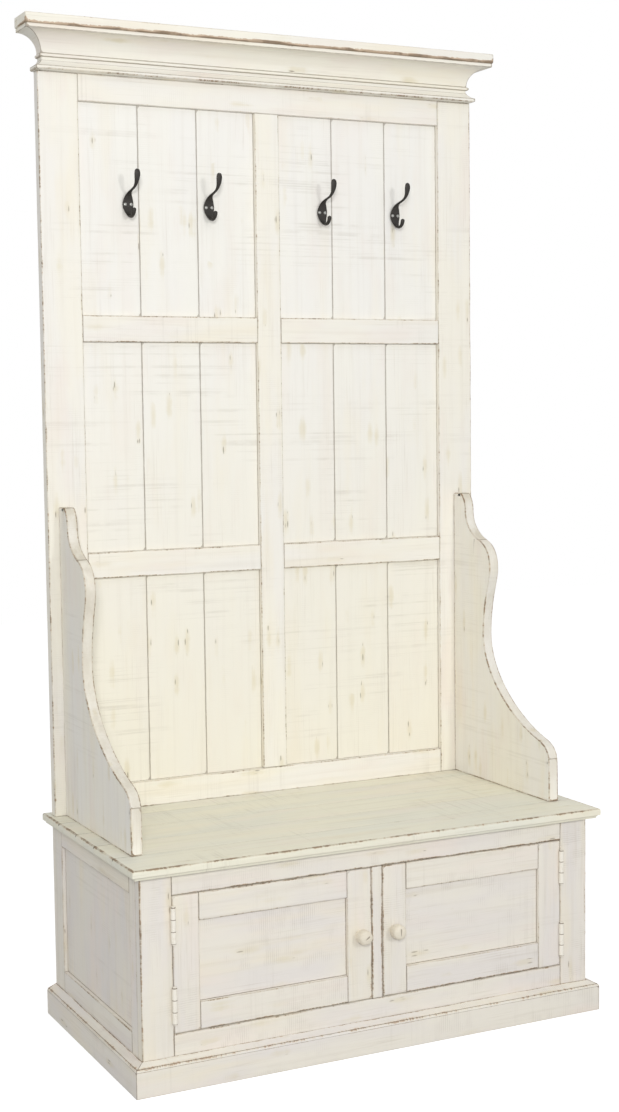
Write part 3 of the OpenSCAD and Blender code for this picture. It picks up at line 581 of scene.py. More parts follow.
def paint(name, warm, cool, cloud=1.0, streaks=1.0, saw=1.0, comb=0.5, knots=1.0,
          line=(0.9 * MM, 0.62), line_colour=LINE, creamy=0.0):
    """Thin matte paint over sawn pine, rubbed through along the arrises.

    The numbers after the colours scale the colour clouds, the grain, the long saw marks, the
    fine ones and the knots; line is the width and the strength of the glaze line in a joint, and
    of the painted shade along a panel's frame; creamy is how much creamier upright boards turn
    towards their lower ends."""
    n = Material(name)
    place = n.attribute("grain", "Vector")
    along = n.split(place)[0]
    edge, joint = n.attribute("edge"), n.attribute("joint")
    tone, worn = n.attribute("tone"), n.attribute("worn")
    grain = n.scattered(place, tone)

    # Broad shifts between a warm and a cool white, with pinkish and golden clouds.
    broad = n.noise(grain, (3, 10, 10), detail=3)
    colour = n.tint(warm, cool, n.total(broad, n.product(tone, 0.05)), 0.42, 0.66)
    blush = n.noise(grain, (4.5, 14, 14), (5, 2, 8), detail=3)
    colour = n.tint(colour, BLUSH, blush, 0.48, 0.72, 0.5 * cloud)
    golden = n.noise(grain, (3.5, 18, 18), (15, 4, 1), detail=3)
    colour = n.tint(colour, STRAW, golden, 0.5, 0.74, 0.45 * cloud)
    if creamy:
        colour = n.tint(colour, CREAM, along, *CREAM_HEIGHTS, creamy)

    # Grime on the narrow faces that hands touch; on the arms this tint is also painted shade.
    mottle = n.noise(grain, (22, 40, 40), (11, 3, 3), detail=4, roughness=0.65)
    dirt_and_shade_share = n.product(n.attribute("dull"), n.ramp(mottle, 0.36, 0.64, 0.6, 1.25))
    colour = n.mix(dirt_and_shade_share, colour, DIRT_AND_SHADE)

    # The grain: broad bands, then fibres that hold the glaze where the paint is thin.
    band = n.noise(grain, (2.2, 70, 70), (2, 7, 3), detail=4, roughness=0.6)
    colour = n.tint(colour, GLAZE, band, 0.48, 0.8, 0.16 * streaks)
    fibre = n.noise(grain, (7, 330, 330), detail=5, roughness=0.65)
    thin = n.noise(grain, (5, 22, 22), (3, 9, 1), detail=2)
    open_grain = n.product(n.ramp(fibre, 0.5, 0.74), n.ramp(thin, 0.44, 0.66))
    colour = n.mix(n.product(open_grain, 0.3 * streaks), colour, GLAZE)

    # Saw marks across the grain, at heights that neighbouring boards share.
    teeth = n.noise(place, (170, 1.6, 1.6), detail=2, roughness=0.6)
    patch = n.noise(place, (7, 4, 4), (1, 4, 2), detail=3)
    breaks = n.noise(grain, (50, 22, 22), (4, 4, 4), detail=3)
    long_marks = n.product(n.ramp(teeth, 0.5, 0.66), n.ramp(patch, 0.46, 0.62),
                           n.ramp(breaks, 0.3, 0.62))
    wave = n.math("SINE", n.total(n.product(along, 2 * math.pi / COMB_STEP),
                                  n.product(broad, 9.0)))
    comb_patch = n.noise(grain, (9, 14, 14), (8, 1, 6), detail=3)
    fine_marks = n.product(n.ramp(wave, -0.2, 1.0), n.ramp(comb_patch, 0.5, 0.64),
                           n.ramp(breaks, 0.36, 0.6))
    sawn = n.math("MAXIMUM", n.product(long_marks, saw), n.product(fine_marks, comb))
    colour = n.mix(n.product(sawn, 0.2), colour, SAWDUST)

    # Knots and pits: a soft tan cloud drawn out along the grain, and a dark scratch in it.
    spot, lot = n.cells(grain, (10, 40, 40))
    ragged = n.total(spot, n.product(fibre, 0.36), n.product(breaks, 0.36))
    halo = n.product(n.ramp(ragged, 0.72, 0.4), n.ramp(lot, 0.6, 0.66))
    colour = n.mix(n.product(halo, 0.38 * knots), colour, KNOT)
    scratch, lot = n.cells(grain, (34, 190, 190), (7, 7, 7))
    torn = n.total(scratch, n.product(fibre, 0.3))
    core = n.product(n.ramp(torn, 0.48, 0.3), n.ramp(lot, 0.55, 0.6), n.ramp(halo, 0.15, 0.5))
    colour = n.mix(n.product(core, 0.7 * knots), colour, KNOT_CORE)

    # Wear along the arrises: bare wood in broken strokes, dark in the middle and pink outside,
    # with a tan rim, and a thin dark line where the paint has only worn thin.
    chip = n.noise(grain, (85, 210, 210), detail=4, roughness=0.7)
    ticks = n.noise(grain, (210, 60, 60), (2, 8, 8), detail=3, roughness=0.6)
    stretch = n.noise(grain, (13, 14, 14), (6, 6, 6), detail=4, roughness=0.65)
    reach = n.total(n.swing(chip, 5 * MM), n.swing(ticks, 7 * MM), n.swing(stretch, 7 * MM),
                    n.product(n.math("SUBTRACT", worn, 1.2), 2.6 * MM))
    reach = n.least(reach, n.product(worn, worn, 1.3 * MM))
    depth = n.math("SUBTRACT", reach, edge)
    colour = n.tint(colour, BARE_RIM, depth, -2.2 * MM, 0.0, 0.3)
    bare = n.ramp(depth, -0.1 * MM, 0.4 * MM)
    streak = n.noise(grain, (40, 300, 300), (9, 2, 2), detail=3)
    wood = n.tint(BARE_DARK, BARE, streak, 0.4, 0.6)
    pink = n.math("MAXIMUM", n.ramp(edge, 0.3 * MM, 1.3 * MM, 0.0, 0.9),
                  n.ramp(stretch, 0.52, 0.44, 0.0, 0.8))
    wood = n.mix(pink, wood, BARE_PINK)
    colour = n.mix(n.product(bare, 0.75), colour, wood)
    thin_line = n.product(n.ramp(edge, 0.8 * MM, 0.0), n.ramp(stretch, 0.38, 0.58, 0.4, 1.0),
                          n.least(worn, 1.3), 0.4)
    colour = n.mix(thin_line, colour, ARRIS)

    # A thin line: glaze in close joints, glaze and painted shade where a panel meets its frame.
    beside = n.vector("MINIMUM", n.vector("SUBTRACT", place, n.attribute("frame_low", "Vector")),
                      n.vector("SUBTRACT", n.attribute("frame_high", "Vector"), place))
    near = n.least(joint, n.math("SUBTRACT", n.least(*n.split(beside)), 0.4 * MM))
    ragged_joint = n.total(near, n.swing(chip, 1.6 * MM))
    width, strength = line
    # Glaze in close joints, and painted shade with glaze where a panel meets its frame.
    glaze_and_shade_line = n.ramp(ragged_joint, 1.25 * width, 0.3 * width)
    colour = n.mix(n.product(glaze_and_shade_line, strength), colour, line_colour)

    roughness = n.total(n.ramp(fibre, 0.3, 0.7, 0.48, 0.62), n.product(bare, 0.2))
    n.set(Base_Color=colour, Roughness=roughness, Specular_IOR_Level=0.35)
    height = n.total(n.product(fibre, 0.5), n.product(band, 0.5), n.product(sawn, -0.6),
                     n.product(bare, -0.8), n.product(core, -1.0), n.product(glaze_and_shade_line, -1.0))
    n.bump(height, 0.4 * MM)
    return n.material


def pine(name, light, dark):
    """Bare softwood: growth lines along the board, fine pores and a dull surface."""
    n = Material(name)
    tone = n.attribute("tone")
    grain = n.scattered(n.attribute("grain", "Vector"), tone)
    ring = n.noise(grain, (1.6, 46, 46), detail=3, distortion=0.6)
    fibre = n.noise(grain, (9, 420, 420), detail=4, roughness=0.7)
    lines = n.total(n.ramp(ring, 0.4, 0.62), n.product(tone, 0.25))
    colour = n.mix(n.product(lines, 0.6), light, dark)
    colour = n.tint(colour, dark, fibre, 0.45, 0.75, 0.35)
    n.set(Base_Color=colour, Roughness=n.ramp(fibre, 0.3, 0.7, 0.55, 0.75))
    n.bump(fibre, 0.3 * MM)
    return n.material


def metal(name, colour, worn, roughness, metallic, grain_size, dent, cuts=()):
    """Forged, pressed or painted metal, or plastic, with a skin that is mottled and dented.

    cuts are heights at which glaze has settled in a ring."""
    n = Material(name)
    place = n.node("TexCoord").outputs["Object"]
    speck = n.noise(place, (1 / grain_size,) * 3, detail=4, roughness=0.6)
    broad = n.noise(place, (60, 60, 60), detail=2)
    mottle = n.product(n.ramp(speck, 0.5, 0.72), n.ramp(broad, 0.4, 0.65))
    colour = n.mix(mottle, colour, worn)
    if cuts:
        height = n.split(place)[2]
        near = n.least(*[n.math("ABSOLUTE", n.math("SUBTRACT", height, cut)) for cut in cuts])
        colour = n.tint(colour, LINE, near, 1.1 * MM, 0.5 * MM, 0.85)
    n.set(Base_Color=colour, Metallic=metallic,
          Roughness=n.ramp(speck, 0.3, 0.7, roughness - 0.08, roughness + 0.1))
    n.bump(speck, dent)
    return n.material


FRAME_PAINT = paint("frame_paint", srgb(243, 239, 227), srgb(241, 238, 231), cloud=0.8,
                    streaks=0.7, saw=0.6, comb=0.3, knots=0.8)
MOULD_PAINT = paint("mould_paint", srgb(244, 240, 227), srgb(241, 238, 229), cloud=0.9,
                    streaks=0.8, saw=0.08, comb=0.0, knots=1.0, line=(1.3 * MM, 0.7))
BASE_PAINT = paint("base_paint", srgb(235, 230, 219), srgb(230, 225, 220), saw=0.4, streaks=1.0,
                   comb=0.9, knots=0.7, line=(1.1 * MM, 0.8), line_colour=DARK_LINE)
PANEL_PAINT = paint("panel_paint", srgb(234, 229, 219), srgb(230, 225, 220), saw=0.6,
                    streaks=0.6, comb=0.5, knots=0.4, line=(1.1 * MM, 0.8),
                    line_colour=DARK_LINE)
PLANK_PAINT = paint("plank_paint", srgb(243, 241, 234), srgb(242, 240, 235), cloud=0.45,
                    streaks=0.55, saw=0.9, comb=0.2, knots=0.85, line=(0.6 * MM, 0.5),
                    creamy=0.4)
SEAT_PAINT = paint("seat_paint", srgb(236, 233, 215), srgb(231, 230, 216), cloud=0.5,
                   comb=0.2, knots=0.4, line=(1.0 * MM, 0.8), line_colour=srgb(114, 104, 84))
KNOB_PAINT = paint("knob_paint", srgb(236, 228, 209), srgb(230, 222, 205), comb=0.0, saw=0.0,
                   knots=0.0, line=(1.9 * MM, 0.6), line_colour=srgb(96, 76, 58))
PINE = pine("bare_pine", srgb(214, 184, 138), srgb(176, 136, 88))
BRONZE = metal("hook_bronze", srgb(50, 47, 44), srgb(74, 68, 62), 0.46, 0.55, 1.6 * MM, 0.12 * MM)
STEEL = metal("zinc_steel", srgb(176, 176, 172), srgb(140, 140, 136), 0.38, 1.0, 2 * MM, 0.05 * MM)
# The heights at which the three knuckles of each hinge begin and end.
KNUCKLES = [low.z + (high.z - low.z) * k / 3
            for low, high in map(solid_box, solids("right_door_leaves")) for k in range(4)]
HINGE_PAINT = metal("hinge_paint", srgb(242, 237, 226), srgb(206, 190, 160), 0.5, 0.0,
                    1.5 * MM, 0.1 * MM, cuts=KNUCKLES)
CATCH = metal("catch_plastic", srgb(226, 224, 216), srgb(216, 214, 204), 0.45, 0.0,
              1.5 * MM, 0.04 * MM)


# ------------------------------------------------------------------ the pieces

BUTTED = (True, True)


def boards(node, names, axis, body, material, **options):
    """One board for each separate solid of a CAD node, in the order of its place."""
    found = solids(node)
    assert len(found) == len(names), (node, len(found))
    for name, solid in zip(names, found):
        board(name, solid_box(solid), axis, body, [node], material, **options)


def base_cabinet():
    for side in SIDES:
        names = [f"{side}_side_{end}_stile" for end in ("front", "back")]
        boards(f"{side}_side_stiles", names, Z, CABINET, BASE_PAINT, butt=BUTTED, wear=0.75)
        names = [f"{side}_side_{end}_rail" for end in ("bottom", "top")]
        boards(f"{side}_side_rails", names, Y, CABINET, BASE_PAINT, butt=BUTTED, wear=0.9)
        stiles, rails = solids(f"{side}_side_stiles"), solids(f"{side}_side_rails")
        opening = (Vector((-FAR, solid_box(stiles[0])[1].y, solid_box(rails[0])[1].z)),
                   Vector((FAR, solid_box(stiles[1])[0].y, solid_box(rails[1])[0].z)))
        board(f"{side}_side_panel_board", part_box(f"{side}_side_panel"), Z, CABINET,
              [f"{side}_side_panel"], PANEL_PAINT, cap_ring=False, opening=opening)
    for side, solid, wear in zip(SIDES, solids("face_stiles"),
                                 ((1.3, 0.7, 0.5, 0.5), (0.7, 0.9, 0.5, 0.5))):
        board(f"face_stile_{side}", solid_box(solid), Z, CABINET, ["face_stiles"], BASE_PAINT,
              butt=BUTTED, wear=wear)
    for node, axis, wear in (("face_top_rail", X, (1.25, 0.5, 0.5, 0.2)),
                             ("face_bottom_rail", X, (0.6, 0.5, 0.5, 0.8)),
                             ("face_mullion", Z, (1.15, 1.15, 0.5, 0.5))):
        boards(node, [node + "_board"], axis, CABINET, BASE_PAINT, butt=BUTTED, wear=wear)
    boards("cabinet_floor", ["cupboard_floor"], X, CABINET, PINE)
    boards("cabinet_back", ["cupboard_back"], X, CABINET, PINE, cap_ring=False)
    boards("floor_cleats", ["floor_cleat_left", "floor_cleat_right"], Y, CABINET, PINE)
    names = [f"seat_bearer_{place}" for place in ("left", "middle", "right")]
    boards("seat_bearers", names, Y, CABINET, PINE)


def mitred(name, node, solid, axis, material, ends, outward, reshape=None, **options):
    """A moulding made from its CAD solid's end, with 45 degree mitres where ends has a 1.

    outward is the other horizontal axis, and the sign of the way the moulding projects;
    reshape gives a point's new (projection, height) from its old ones."""
    low, high = solid_box(solid)
    across, sign = outward
    reach = high[across] - low[across]
    flat = low[across] if sign > 0 else high[across]
    outline = end_outline(solid, axis)

    def out(p):
        return abs(p[0] - flat)

    if reshape:
        moved = [reshape(out(p), p[1]) for p in outline]
        outline = [Vector((flat + sign * x, height)) for x, height in moved]
    mitre = (lambda p: -out(p)) if ends[0] else None, out if ends[1] else None
    prism(name, smoothed(outline), axis, low[axis] + reach * ends[0],
          high[axis] - reach * ends[1], CABINET, [node], material, moulding=True, mitre=mitre,
          **options)


# The rounded shoulder of the plinth: how far its crest is under the top, and behind the face.
SHOULDER_DROP, SHOULDER_BACK = 8 * MM, 3 * MM
PLINTH_WORN_FROM = 30 * MM    # the plinth is rubbed above this height

# The crown's members, in mm above the foot of the header: heights in the CAD solid, and here,
# with a smaller bead and a deeper lip above the cove.
CROWN_HEIGHTS = ((30, 27.7), (40, 35.4), (82, 76), (84, 84))
CROWN_GROOVES = 28.0, 35.4    # the quirks on both sides of the bead

# The neck moulding: its projection as a share of the solid's, how much its underside rises
# for each metre out, and the heights above its foot where the underside and the nose end.
NECK_SHARE, NECK_RISE = 0.75, 0.1
NECK_UNDERSIDE, NECK_NOSE = 4 * MM, 10 * MM


def plinth():
    def wear(p):
        return 1.3 if p[1] > PLINTH_WORN_FROM else 0.3

    low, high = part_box("plinth_front")
    crest = high.z - SHOULDER_DROP
    mitred("plinth_front_board", "plinth_front", solids("plinth_front")[0], X, BASE_PAINT,
           (1, 1), (Y, -1), wear=wear, ridge=Vector((low.y + SHOULDER_BACK, crest)))
    for side, sign in SIDES.items():
        node = f"plinth_{side}"
        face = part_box(node)[0 if sign < 0 else 1].x
        mitred(node + "_board", node, solids(node)[0], Y, BASE_PAINT, (1, 0), (X, sign),
               wear=wear, ridge=Vector((face - sign * SHOULDER_BACK, crest)))


def cornice_mouldings():
    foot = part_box("cornice_header")[0].z

    def crown_shape(x, height):
        above = (height - foot) / MM
        for (a, new_a), (b, new_b) in zip(CROWN_HEIGHTS, CROWN_HEIGHTS[1:]):
            if above <= b + 0.01:
                return x, foot + (new_a + (new_b - new_a) * (above - a) / (b - a)) * MM
        return x, height

    def neck_shape(x, height):
        rise = NECK_RISE * x if height < foot + NECK_UNDERSIDE else 0.0
        return NECK_SHARE * x, height + rise

    def neck_wear(p):
        return 1.0 if p[1] < foot + NECK_NOSE else 0.5

    crown = {"wear": 0.5, "reshape": crown_shape,
             "grooves": [foot + height * MM for height in CROWN_GROOVES]}
    neck = {"wear": neck_wear, "reshape": neck_shape, "ease": 3.6 * MM}
    for name, node, options in (("crown", "crown", crown), ("neck", "neck_mould", neck)):
        mitred(f"{name}_front_moulding", f"{node}_front", solids(f"{node}_front")[0], X,
               MOULD_PAINT, (1, 1), (Y, -1), **options)
        for (side, sign), solid in zip(SIDES.items(), solids(f"{node}_returns")):
            mitred(f"{name}_return_{side}", f"{node}_returns", solid, Y, MOULD_PAINT,
                   (1, 0), (X, sign), **options)


def outlined(node, axis, material, **options):
    """A rebated member, made from the outline of its CAD solid's end."""
    solid = solids(node)[0]
    low, high = solid_box(solid)
    prism(node + "_member", end_outline(solid, axis), axis, low[axis], high[axis], CABINET,
          [node], material, **options)


def upper_back():
    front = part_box("back_top_rail")[0].y + 1 * MM       # just behind the front faces
    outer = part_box("back_stile_right")[1].x - 1 * MM    # just inside the outer faces

    def stile_wear(p):
        if p[1] > front:
            return 0.4
        return 1.0 if abs(p[0]) > outer else 0.8

    def rail_wear(p):
        return 0.9 if p[0] < front else 0.4

    for node in ("back_stile_left", "back_stile_right", "back_mullion"):
        outlined(node, Z, FRAME_PAINT, wear=stile_wear, butt=BUTTED)
    outlined("back_top_rail", X, FRAME_PAINT, wear=0.45, butt=BUTTED)
    outlined("back_bottom_rail", X, FRAME_PAINT, wear=rail_wear, butt=BUTTED)
    rails = [solid_box(solid) for solid in solids("back_mid_rails")]
    edges = {z for low, high in rails for z in (round(low.z, 6), round(high.z, 6))}
    edges |= {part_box("back_bottom_rail")[1].z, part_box("back_top_rail")[0].z}
    places = ("left_lower", "left_upper", "right_lower", "right_upper")
    boards("back_mid_rails", [f"mid_rail_{p}" for p in places], X, CABINET, FRAME_PAINT,
           wear=(1.0, 0.4, 0.4, 1.0), butt=BUTTED)
    for side in SIDES:
        names = [f"{side}_plank_{k}" for k in (1, 2, 3)]
        bay = [box for box in rails if (box[0].x < 0) == (side == "left")][0]
        opening = Vector((bay[0].x, -FAR, -FAR)), Vector((bay[1].x, FAR, FAR))
        boards(f"planks_{side}_bay", names, Z, CABINET, PLANK_PAINT, butt=BUTTED, seams=(0, 1),
               ease=0.7 * MM, opening=opening, crossings=sorted(edges))
    boards("cornice_header", ["cornice_header_board"], X, CABINET, MOULD_PAINT)
    boards("cornice_board", ["cornice_top_board"], X, CABINET, MOULD_PAINT,
           wear=(2.6, 0.8, 0.5, 0.45), ease=1.6 * MM)


# Heights, as shares of an arm's, of the hollow under its neck and of its upright foot.
ARM_HOLLOW = 0.842
ARM_FOOT = 0.129
ARM_DIRT_AND_SHADE = {"left": 0.62, "right": 0.42}    # how dull the narrow face is above its foot: grime, and on the left arm also painted shade
FOOT_DIRT = 0.15
# Turns up to this, in radians, are cut off, this far from the corner.
ARM_BLUNT, ARM_CUT = 1.0, 8 * MM


def arms():
    for side in SIDES:
        node = f"arm_{side}"
        solid = solids(node)[0]
        low, high = solid_box(solid)
        outline = smoothed(smoothed(softened(end_outline(solid, X), ARM_BLUNT, ARM_CUT)))
        hollow = low.z + ARM_HOLLOW * (high.z - low.z)
        foot = low.z + ARM_FOOT * (high.z - low.z)

        def dirt_and_shade(p):
            """How dull the narrow face is: grime most at its top, and glaze with painted shade
            just over the hollow.
            """
            if p[1] < foot:
                return FOOT_DIRT
            near_top = math.exp(-((high.z - p[1]) / (22 * MM)) ** 2)
            # Just over the hollow, where the face turns in: glaze and painted shade.
            over_hollow = math.exp(-((p[1] - hollow) / (20 * MM)) ** 2) if p[1] > hollow else 0.0
            return min(1.0, ARM_DIRT_AND_SHADE[side] + 0.5 * near_top + 0.75 * over_hollow)

        prism(node + "_board", outline, X, low[X], high[X], CABINET, [node], FRAME_PAINT,
              grain_axis=Z, ease=2.4 * MM, wear=1.15, dull=dirt_and_shade, grooves=[hollow])


# ------------------------------------------------------------------------ seat

SEAT_NOSE = 4 * MM          # radius of the rounded upper edge
SEAT_COVE = 7 * MM          # radius of the cove under it
SEAM = 0.8 * MM             # half the width of the groove between two boards
TIGHTER = 0.5 * MM          # how much less of that groove shows between the arms
SEAT_WEAR = 1.15
SEAT_DENTS = 0.6 * MM, 25   # how deep its arris is dented, and how fast that varies per metre
SEAT_BOARDS = 4             # behind the front one
EDGE_STEPS = 5              # steps round the nose and the cove, and across a board's end


def seat_levels(thickness):
    """Heights above the underside, with the set-back of the moulded edge at each."""
    quarter = [k * math.pi / 2 / EDGE_STEPS for k in range(EDGE_STEPS + 1)]
    cove = [(SEAT_COVE * math.sin(a), SEAT_COVE * math.cos(a)) for a in quarter]
    nose = [(thickness - SEAT_NOSE * (1 - math.sin(a)), SEAT_NOSE * (1 - math.cos(a)))
            for a in quarter]
    return cove + nose


def seat_strip(name, low, high, node, is_front):
    """One board of the seat: moulded at its ends, and along the front of the front board."""
    thickness = high.z - low.z
    arms_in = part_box("arm_right")[0].x
    steps = round((high.x - low.x) / RING_STEP)
    deepest, swings = SEAT_DENTS
    loft = Loft()

    def ring(z, setback, seam_in, gap):
        """The ring at a height, with its moulded edges set back and its seamed ones moved in.

        gap is the distance to the moulded edge's arris."""
        x0, x1 = low.x + setback, high.x - setback
        y0 = low.y + (setback if is_front else seam_in)
        y1 = high.y - seam_in
        corners = [(x0, y0), (x1, y0), (x1, y1), (x0, y1)]
        places, edge, joint = [], [], []
        for i, a in enumerate(corners):
            b = corners[(i + 1) % 4]
            count = steps if i in (0, 2) else EDGE_STEPS
            seamed = i == 2 or (i == 0 and not is_front)
            for k in range(count):
                t = k / count
                x, y = a[0] + (b[0] - a[0]) * t, a[1] + (b[1] - a[1]) * t
                dent = deepest * max(0.0, wander((x, y, z), swings)) if gap == 0.0 else 0.0
                places.append(Vector((x, y, low.z + z - dent)))
                edge.append(gap if not seamed or k == 0 else WORN_BAND)
                lined = seamed or (k == 0 and i == 3)
                tight = TIGHTER if abs(x) < arms_in else 0.0
                joint.append(seam_in + tight if lined and z > 0.8 * thickness else WORN_BAND)
        loft.ring(places, edge, joint, [SEAT_WEAR] * len(places))

    for z, setback in seat_levels(thickness):
        top_gap = thickness - z
        gap = max(0.0, min(WORN_BAND, top_gap - 0.4 * SEAT_NOSE))
        ring(z, setback, SEAM if top_gap < 0.1 * MM else 0.0, gap)
    ring(thickness, SEAT_NOSE + WORN_BAND, WORN_BAND, WORN_BAND)
    finished(name, loft.mesh(name), loft.values, X, CABINET, [node], SEAT_PAINT)


def seat():
    low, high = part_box("seat_front_board")
    seat_strip("seat_strip_1", low, high, "seat_front_board", True)
    low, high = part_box("seat_boards")
    depth = (high.y - low.y) / SEAT_BOARDS
    for k in range(SEAT_BOARDS):
        start = Vector((low.x, low.y + k * depth, low.z))
        end = Vector((high.x, low.y + (k + 1) * depth, high.z))
        seat_strip(f"seat_strip_{k + 2}", start, end, "seat_boards", False)


# ------------------------------------------------------------------- the doors

# A knob's profile from its foot to the middle of its face: (radius, height), as shares of the
# half width and of the length of its CAD solid.
KNOB_PROFILE = (
    (0.30, -0.1), (0.62, -0.1), (0.62, 0.04), (0.58, 0.08), (0.52, 0.12), (0.54, 0.17),
    (0.66, 0.22), (0.81, 0.27), (0.89, 0.34), (0.92, 0.44), (0.925, 0.56), (0.92, 0.68),
    (0.90, 0.77), (0.85, 0.85), (0.78, 0.90), (0.69, 0.935), (0.58, 0.96), (0.48, 0.975),
    (0.38, 0.987), (0.28, 0.995), (0.18, 1.0), (0.08, 1.0), (0.01, 1.0))
# The drying crack in each knob's face, from its open end, as shares of the half width.
KNOB_CRACK = {"left": ((0.28, 0.18), (-0.22, -0.14)), "right": ((0.02, 0.44), (-0.02, -0.40))}
CRACK_DEPTH, CRACK_REACH, CRACK_TAPER = 1.0 * MM, 2.2 * MM, 1.2 * MM
KNOB_STEPS = 72


def crack_distance(p, a, b):
    """Distance from a crack that runs from a to b and closes up towards b."""
    t = max(0.0, min(1.0, (p - a).dot(b - a) / (b - a).length_squared))
    return (p - a - (b - a) * t).length + CRACK_TAPER * t * t


def knob(side):
    """A turned knob in the place of its CAD solid."""
    node = f"{side}_door_knob"
    low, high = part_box(node)
    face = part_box(f"{side}_door_rails")[0].y
    centre = Vector(((low.x + high.x) / 2, face, (low.z + high.z) / 2))
    wide, tall = (high.x - low.x) / 2, face - low.y
    crack = [Vector(point) * wide for point in KNOB_CRACK[side]]
    loft = Loft()
    for radius, height in KNOB_PROFILE:
        places, joint = [], []
        for k in range(KNOB_STEPS):
            a = 2 * math.pi * k / KNOB_STEPS
            flat = Vector((math.cos(a), math.sin(a))) * radius * wide
            near = crack_distance(flat, *crack) if height > 0.8 else WORN_BAND
            sunk = CRACK_DEPTH * max(0.0, 1 - near / CRACK_REACH)
            places.append(centre + Vector((flat.x, -tall * height + sunk, flat.y)))
            joint.append(min(WORN_BAND, near))
        loft.ring(places, [WORN_BAND] * KNOB_STEPS, joint, [0.0] * KNOB_STEPS)
    finished(f"{side}_knob_turned", loft.mesh("knob"), loft.values, X, DOORS[side], [node],
             KNOB_PAINT, sharp=60)


HINGE_EDGE_WEAR, KNOB_EDGE_WEAR = 0.6, 1.15    # of a door's two upright edges


def door(side):
    body = DOORS[side]
    stiles = [solid_box(solid) for solid in solids(f"{side}_door_stiles")]
    outer = [HINGE_EDGE_WEAR, KNOB_EDGE_WEAR]
    if side == "right":
        outer.reverse()
    wears = (outer[0], 0.65, 0.5, 0.5), (0.65, outer[1], 0.5, 0.5)
    for end, box, wear in zip(SIDES, stiles, wears):
        board(f"{side}_door_{end}_stile", box, Z, body, [f"{side}_door_stiles"], BASE_PAINT,
              wear=wear)
    bottom, top = solids(f"{side}_door_rails")
    opening = (Vector((stiles[0][1].x, -FAR, solid_box(bottom)[1].z)),
               Vector((stiles[1][0].x, FAR, solid_box(top)[0].z)))
    for end, solid, wear in (("bottom", bottom, (1.2, 0.6, 0.5, 0.7)),
                             ("top", top, (0.8, 0.5, 0.6, 1.0))):
        board(f"{side}_door_{end}_rail", solid_box(solid), X, body, [f"{side}_door_rails"],
              BASE_PAINT, butt=BUTTED, wear=wear)
    board(f"{side}_door_field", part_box(f"{side}_door_panel"), X, body,
          [f"{side}_door_panel"], BASE_PAINT, cap_ring=False, opening=opening)
    knob(side)


# ------------------------------------------------------------------- the hooks

# One forged strip, from the tall prong's tip over the leaf on the boards to the small prong's
# tip. Stations: out from the boards, up from the leaf's middle, width, thickness, in mm.
HOOK_STRIP = (
    (61, 66, 1, 1), (61, 65.2, 6, 3.2), (61, 63, 10, 5), (61, 57.5, 12.6, 6), (60, 50.5, 12, 6),
    (57.5, 43.5, 9.8, 5.6), (53, 37.5, 7.6, 5.2), (46.5, 33, 6.4, 4.8), (38, 29.8, 5.8, 4.6),
    (28, 27.4, 6, 4.6), (19, 25.2, 7.6, 4.6), (12.5, 22.4, 10.6, 4.6), (8, 18.5, 14.5, 4.5),
    (5, 13, 19, 4.3), (3.2, 6.5, 22.6, 4.2), (2.6, 0, 23.8, 4.2), (2.8, -6.5, 22.6, 4.3),
    (4.3, -12.5, 19.2, 4.6), (7, -18, 15, 5), (11, -22.5, 11.6, 5.4), (16.5, -25.6, 9.4, 5.6),
    (23, -26.6, 8.4, 5.6), (29.5, -25.4, 8, 5.6), (34.5, -22, 8.4, 5.8), (37.6, -17.5, 9.4, 6.2),
    (38.8, -13.4, 9.2, 6), (39.1, -11, 6.6, 4.4), (39.2, -10, 1, 1))
HOOK_CUP = 0.07            # how far the strip's edges curl, as a share of its width
HOOK_DENTS = 0.03, 140     # how deep its dents are, as a share, and how fast they vary per metre
HOOK_STEPS = 28


def between(stations, steps=4):
    """Stations with smooth ones added between them, on a curve through all of them."""
    result = []
    last = len(stations) - 1
    for i in range(last):
        a, b = stations[max(0, i - 1)], stations[i]
        c, d = stations[i + 1], stations[min(last, i + 2)]
        for k in range(steps):
            t = k / steps
            result.append(tuple(
                0.5 * (2 * q + (r - p) * t + (2 * p - 5 * q + 4 * r - s) * t * t
                       + (3 * q - p - 3 * r + s) * t ** 3)
                for p, q, r, s in zip(a, b, c, d)))
    return result + [stations[-1]]


def hook_loft():
    """A loft through the strip's stations, with an oval section that is slightly dished."""
    spine = [tuple(c * MM for c in station) for station in between(HOOK_STRIP)]
    deepest, swings = HOOK_DENTS
    loft = Loft()
    for i, (out, up, width, thick) in enumerate(spine):
        before, after = spine[max(0, i - 1)], spine[min(len(spine) - 1, i + 1)]
        along = Vector((after[0] - before[0], after[1] - before[1])).normalized()
        places = []
        for k in range(HOOK_STEPS):
            a = 2 * math.pi * k / HOOK_STEPS
            side, lift = math.cos(a), thick / 2 * math.sin(a)
            lift += HOOK_CUP * width * (side * side - 0.5)
            side *= width / 2
            dent = 1 + deepest * wander((side, out, up), swings)
            places.append(Vector((side * dent, -(out - along.y * lift), up + along.x * lift)))
        loft.ring(places, *[[number] * HOOK_STEPS for number in (WORN_BAND, WORN_BAND, 0.0)])
    return loft


# A screw head's profile from its recess to its rim: (radius, height), as shares of the head's.
HEAD_PROFILE = ((0.34, -0.2), (0.44, 0.9), (0.62, 0.95), (0.86, 0.66), (0.97, 0.36), (1.0, 0.0),
                (1.0, -0.6))
# Its cross recess: half the width and the depth of a slot, as shares, and its turn in radians.
SLOT_HALF, SLOT_DEPTH, SLOT_TURN = 0.14, 0.55, 0.5
HEAD_STEPS = 32


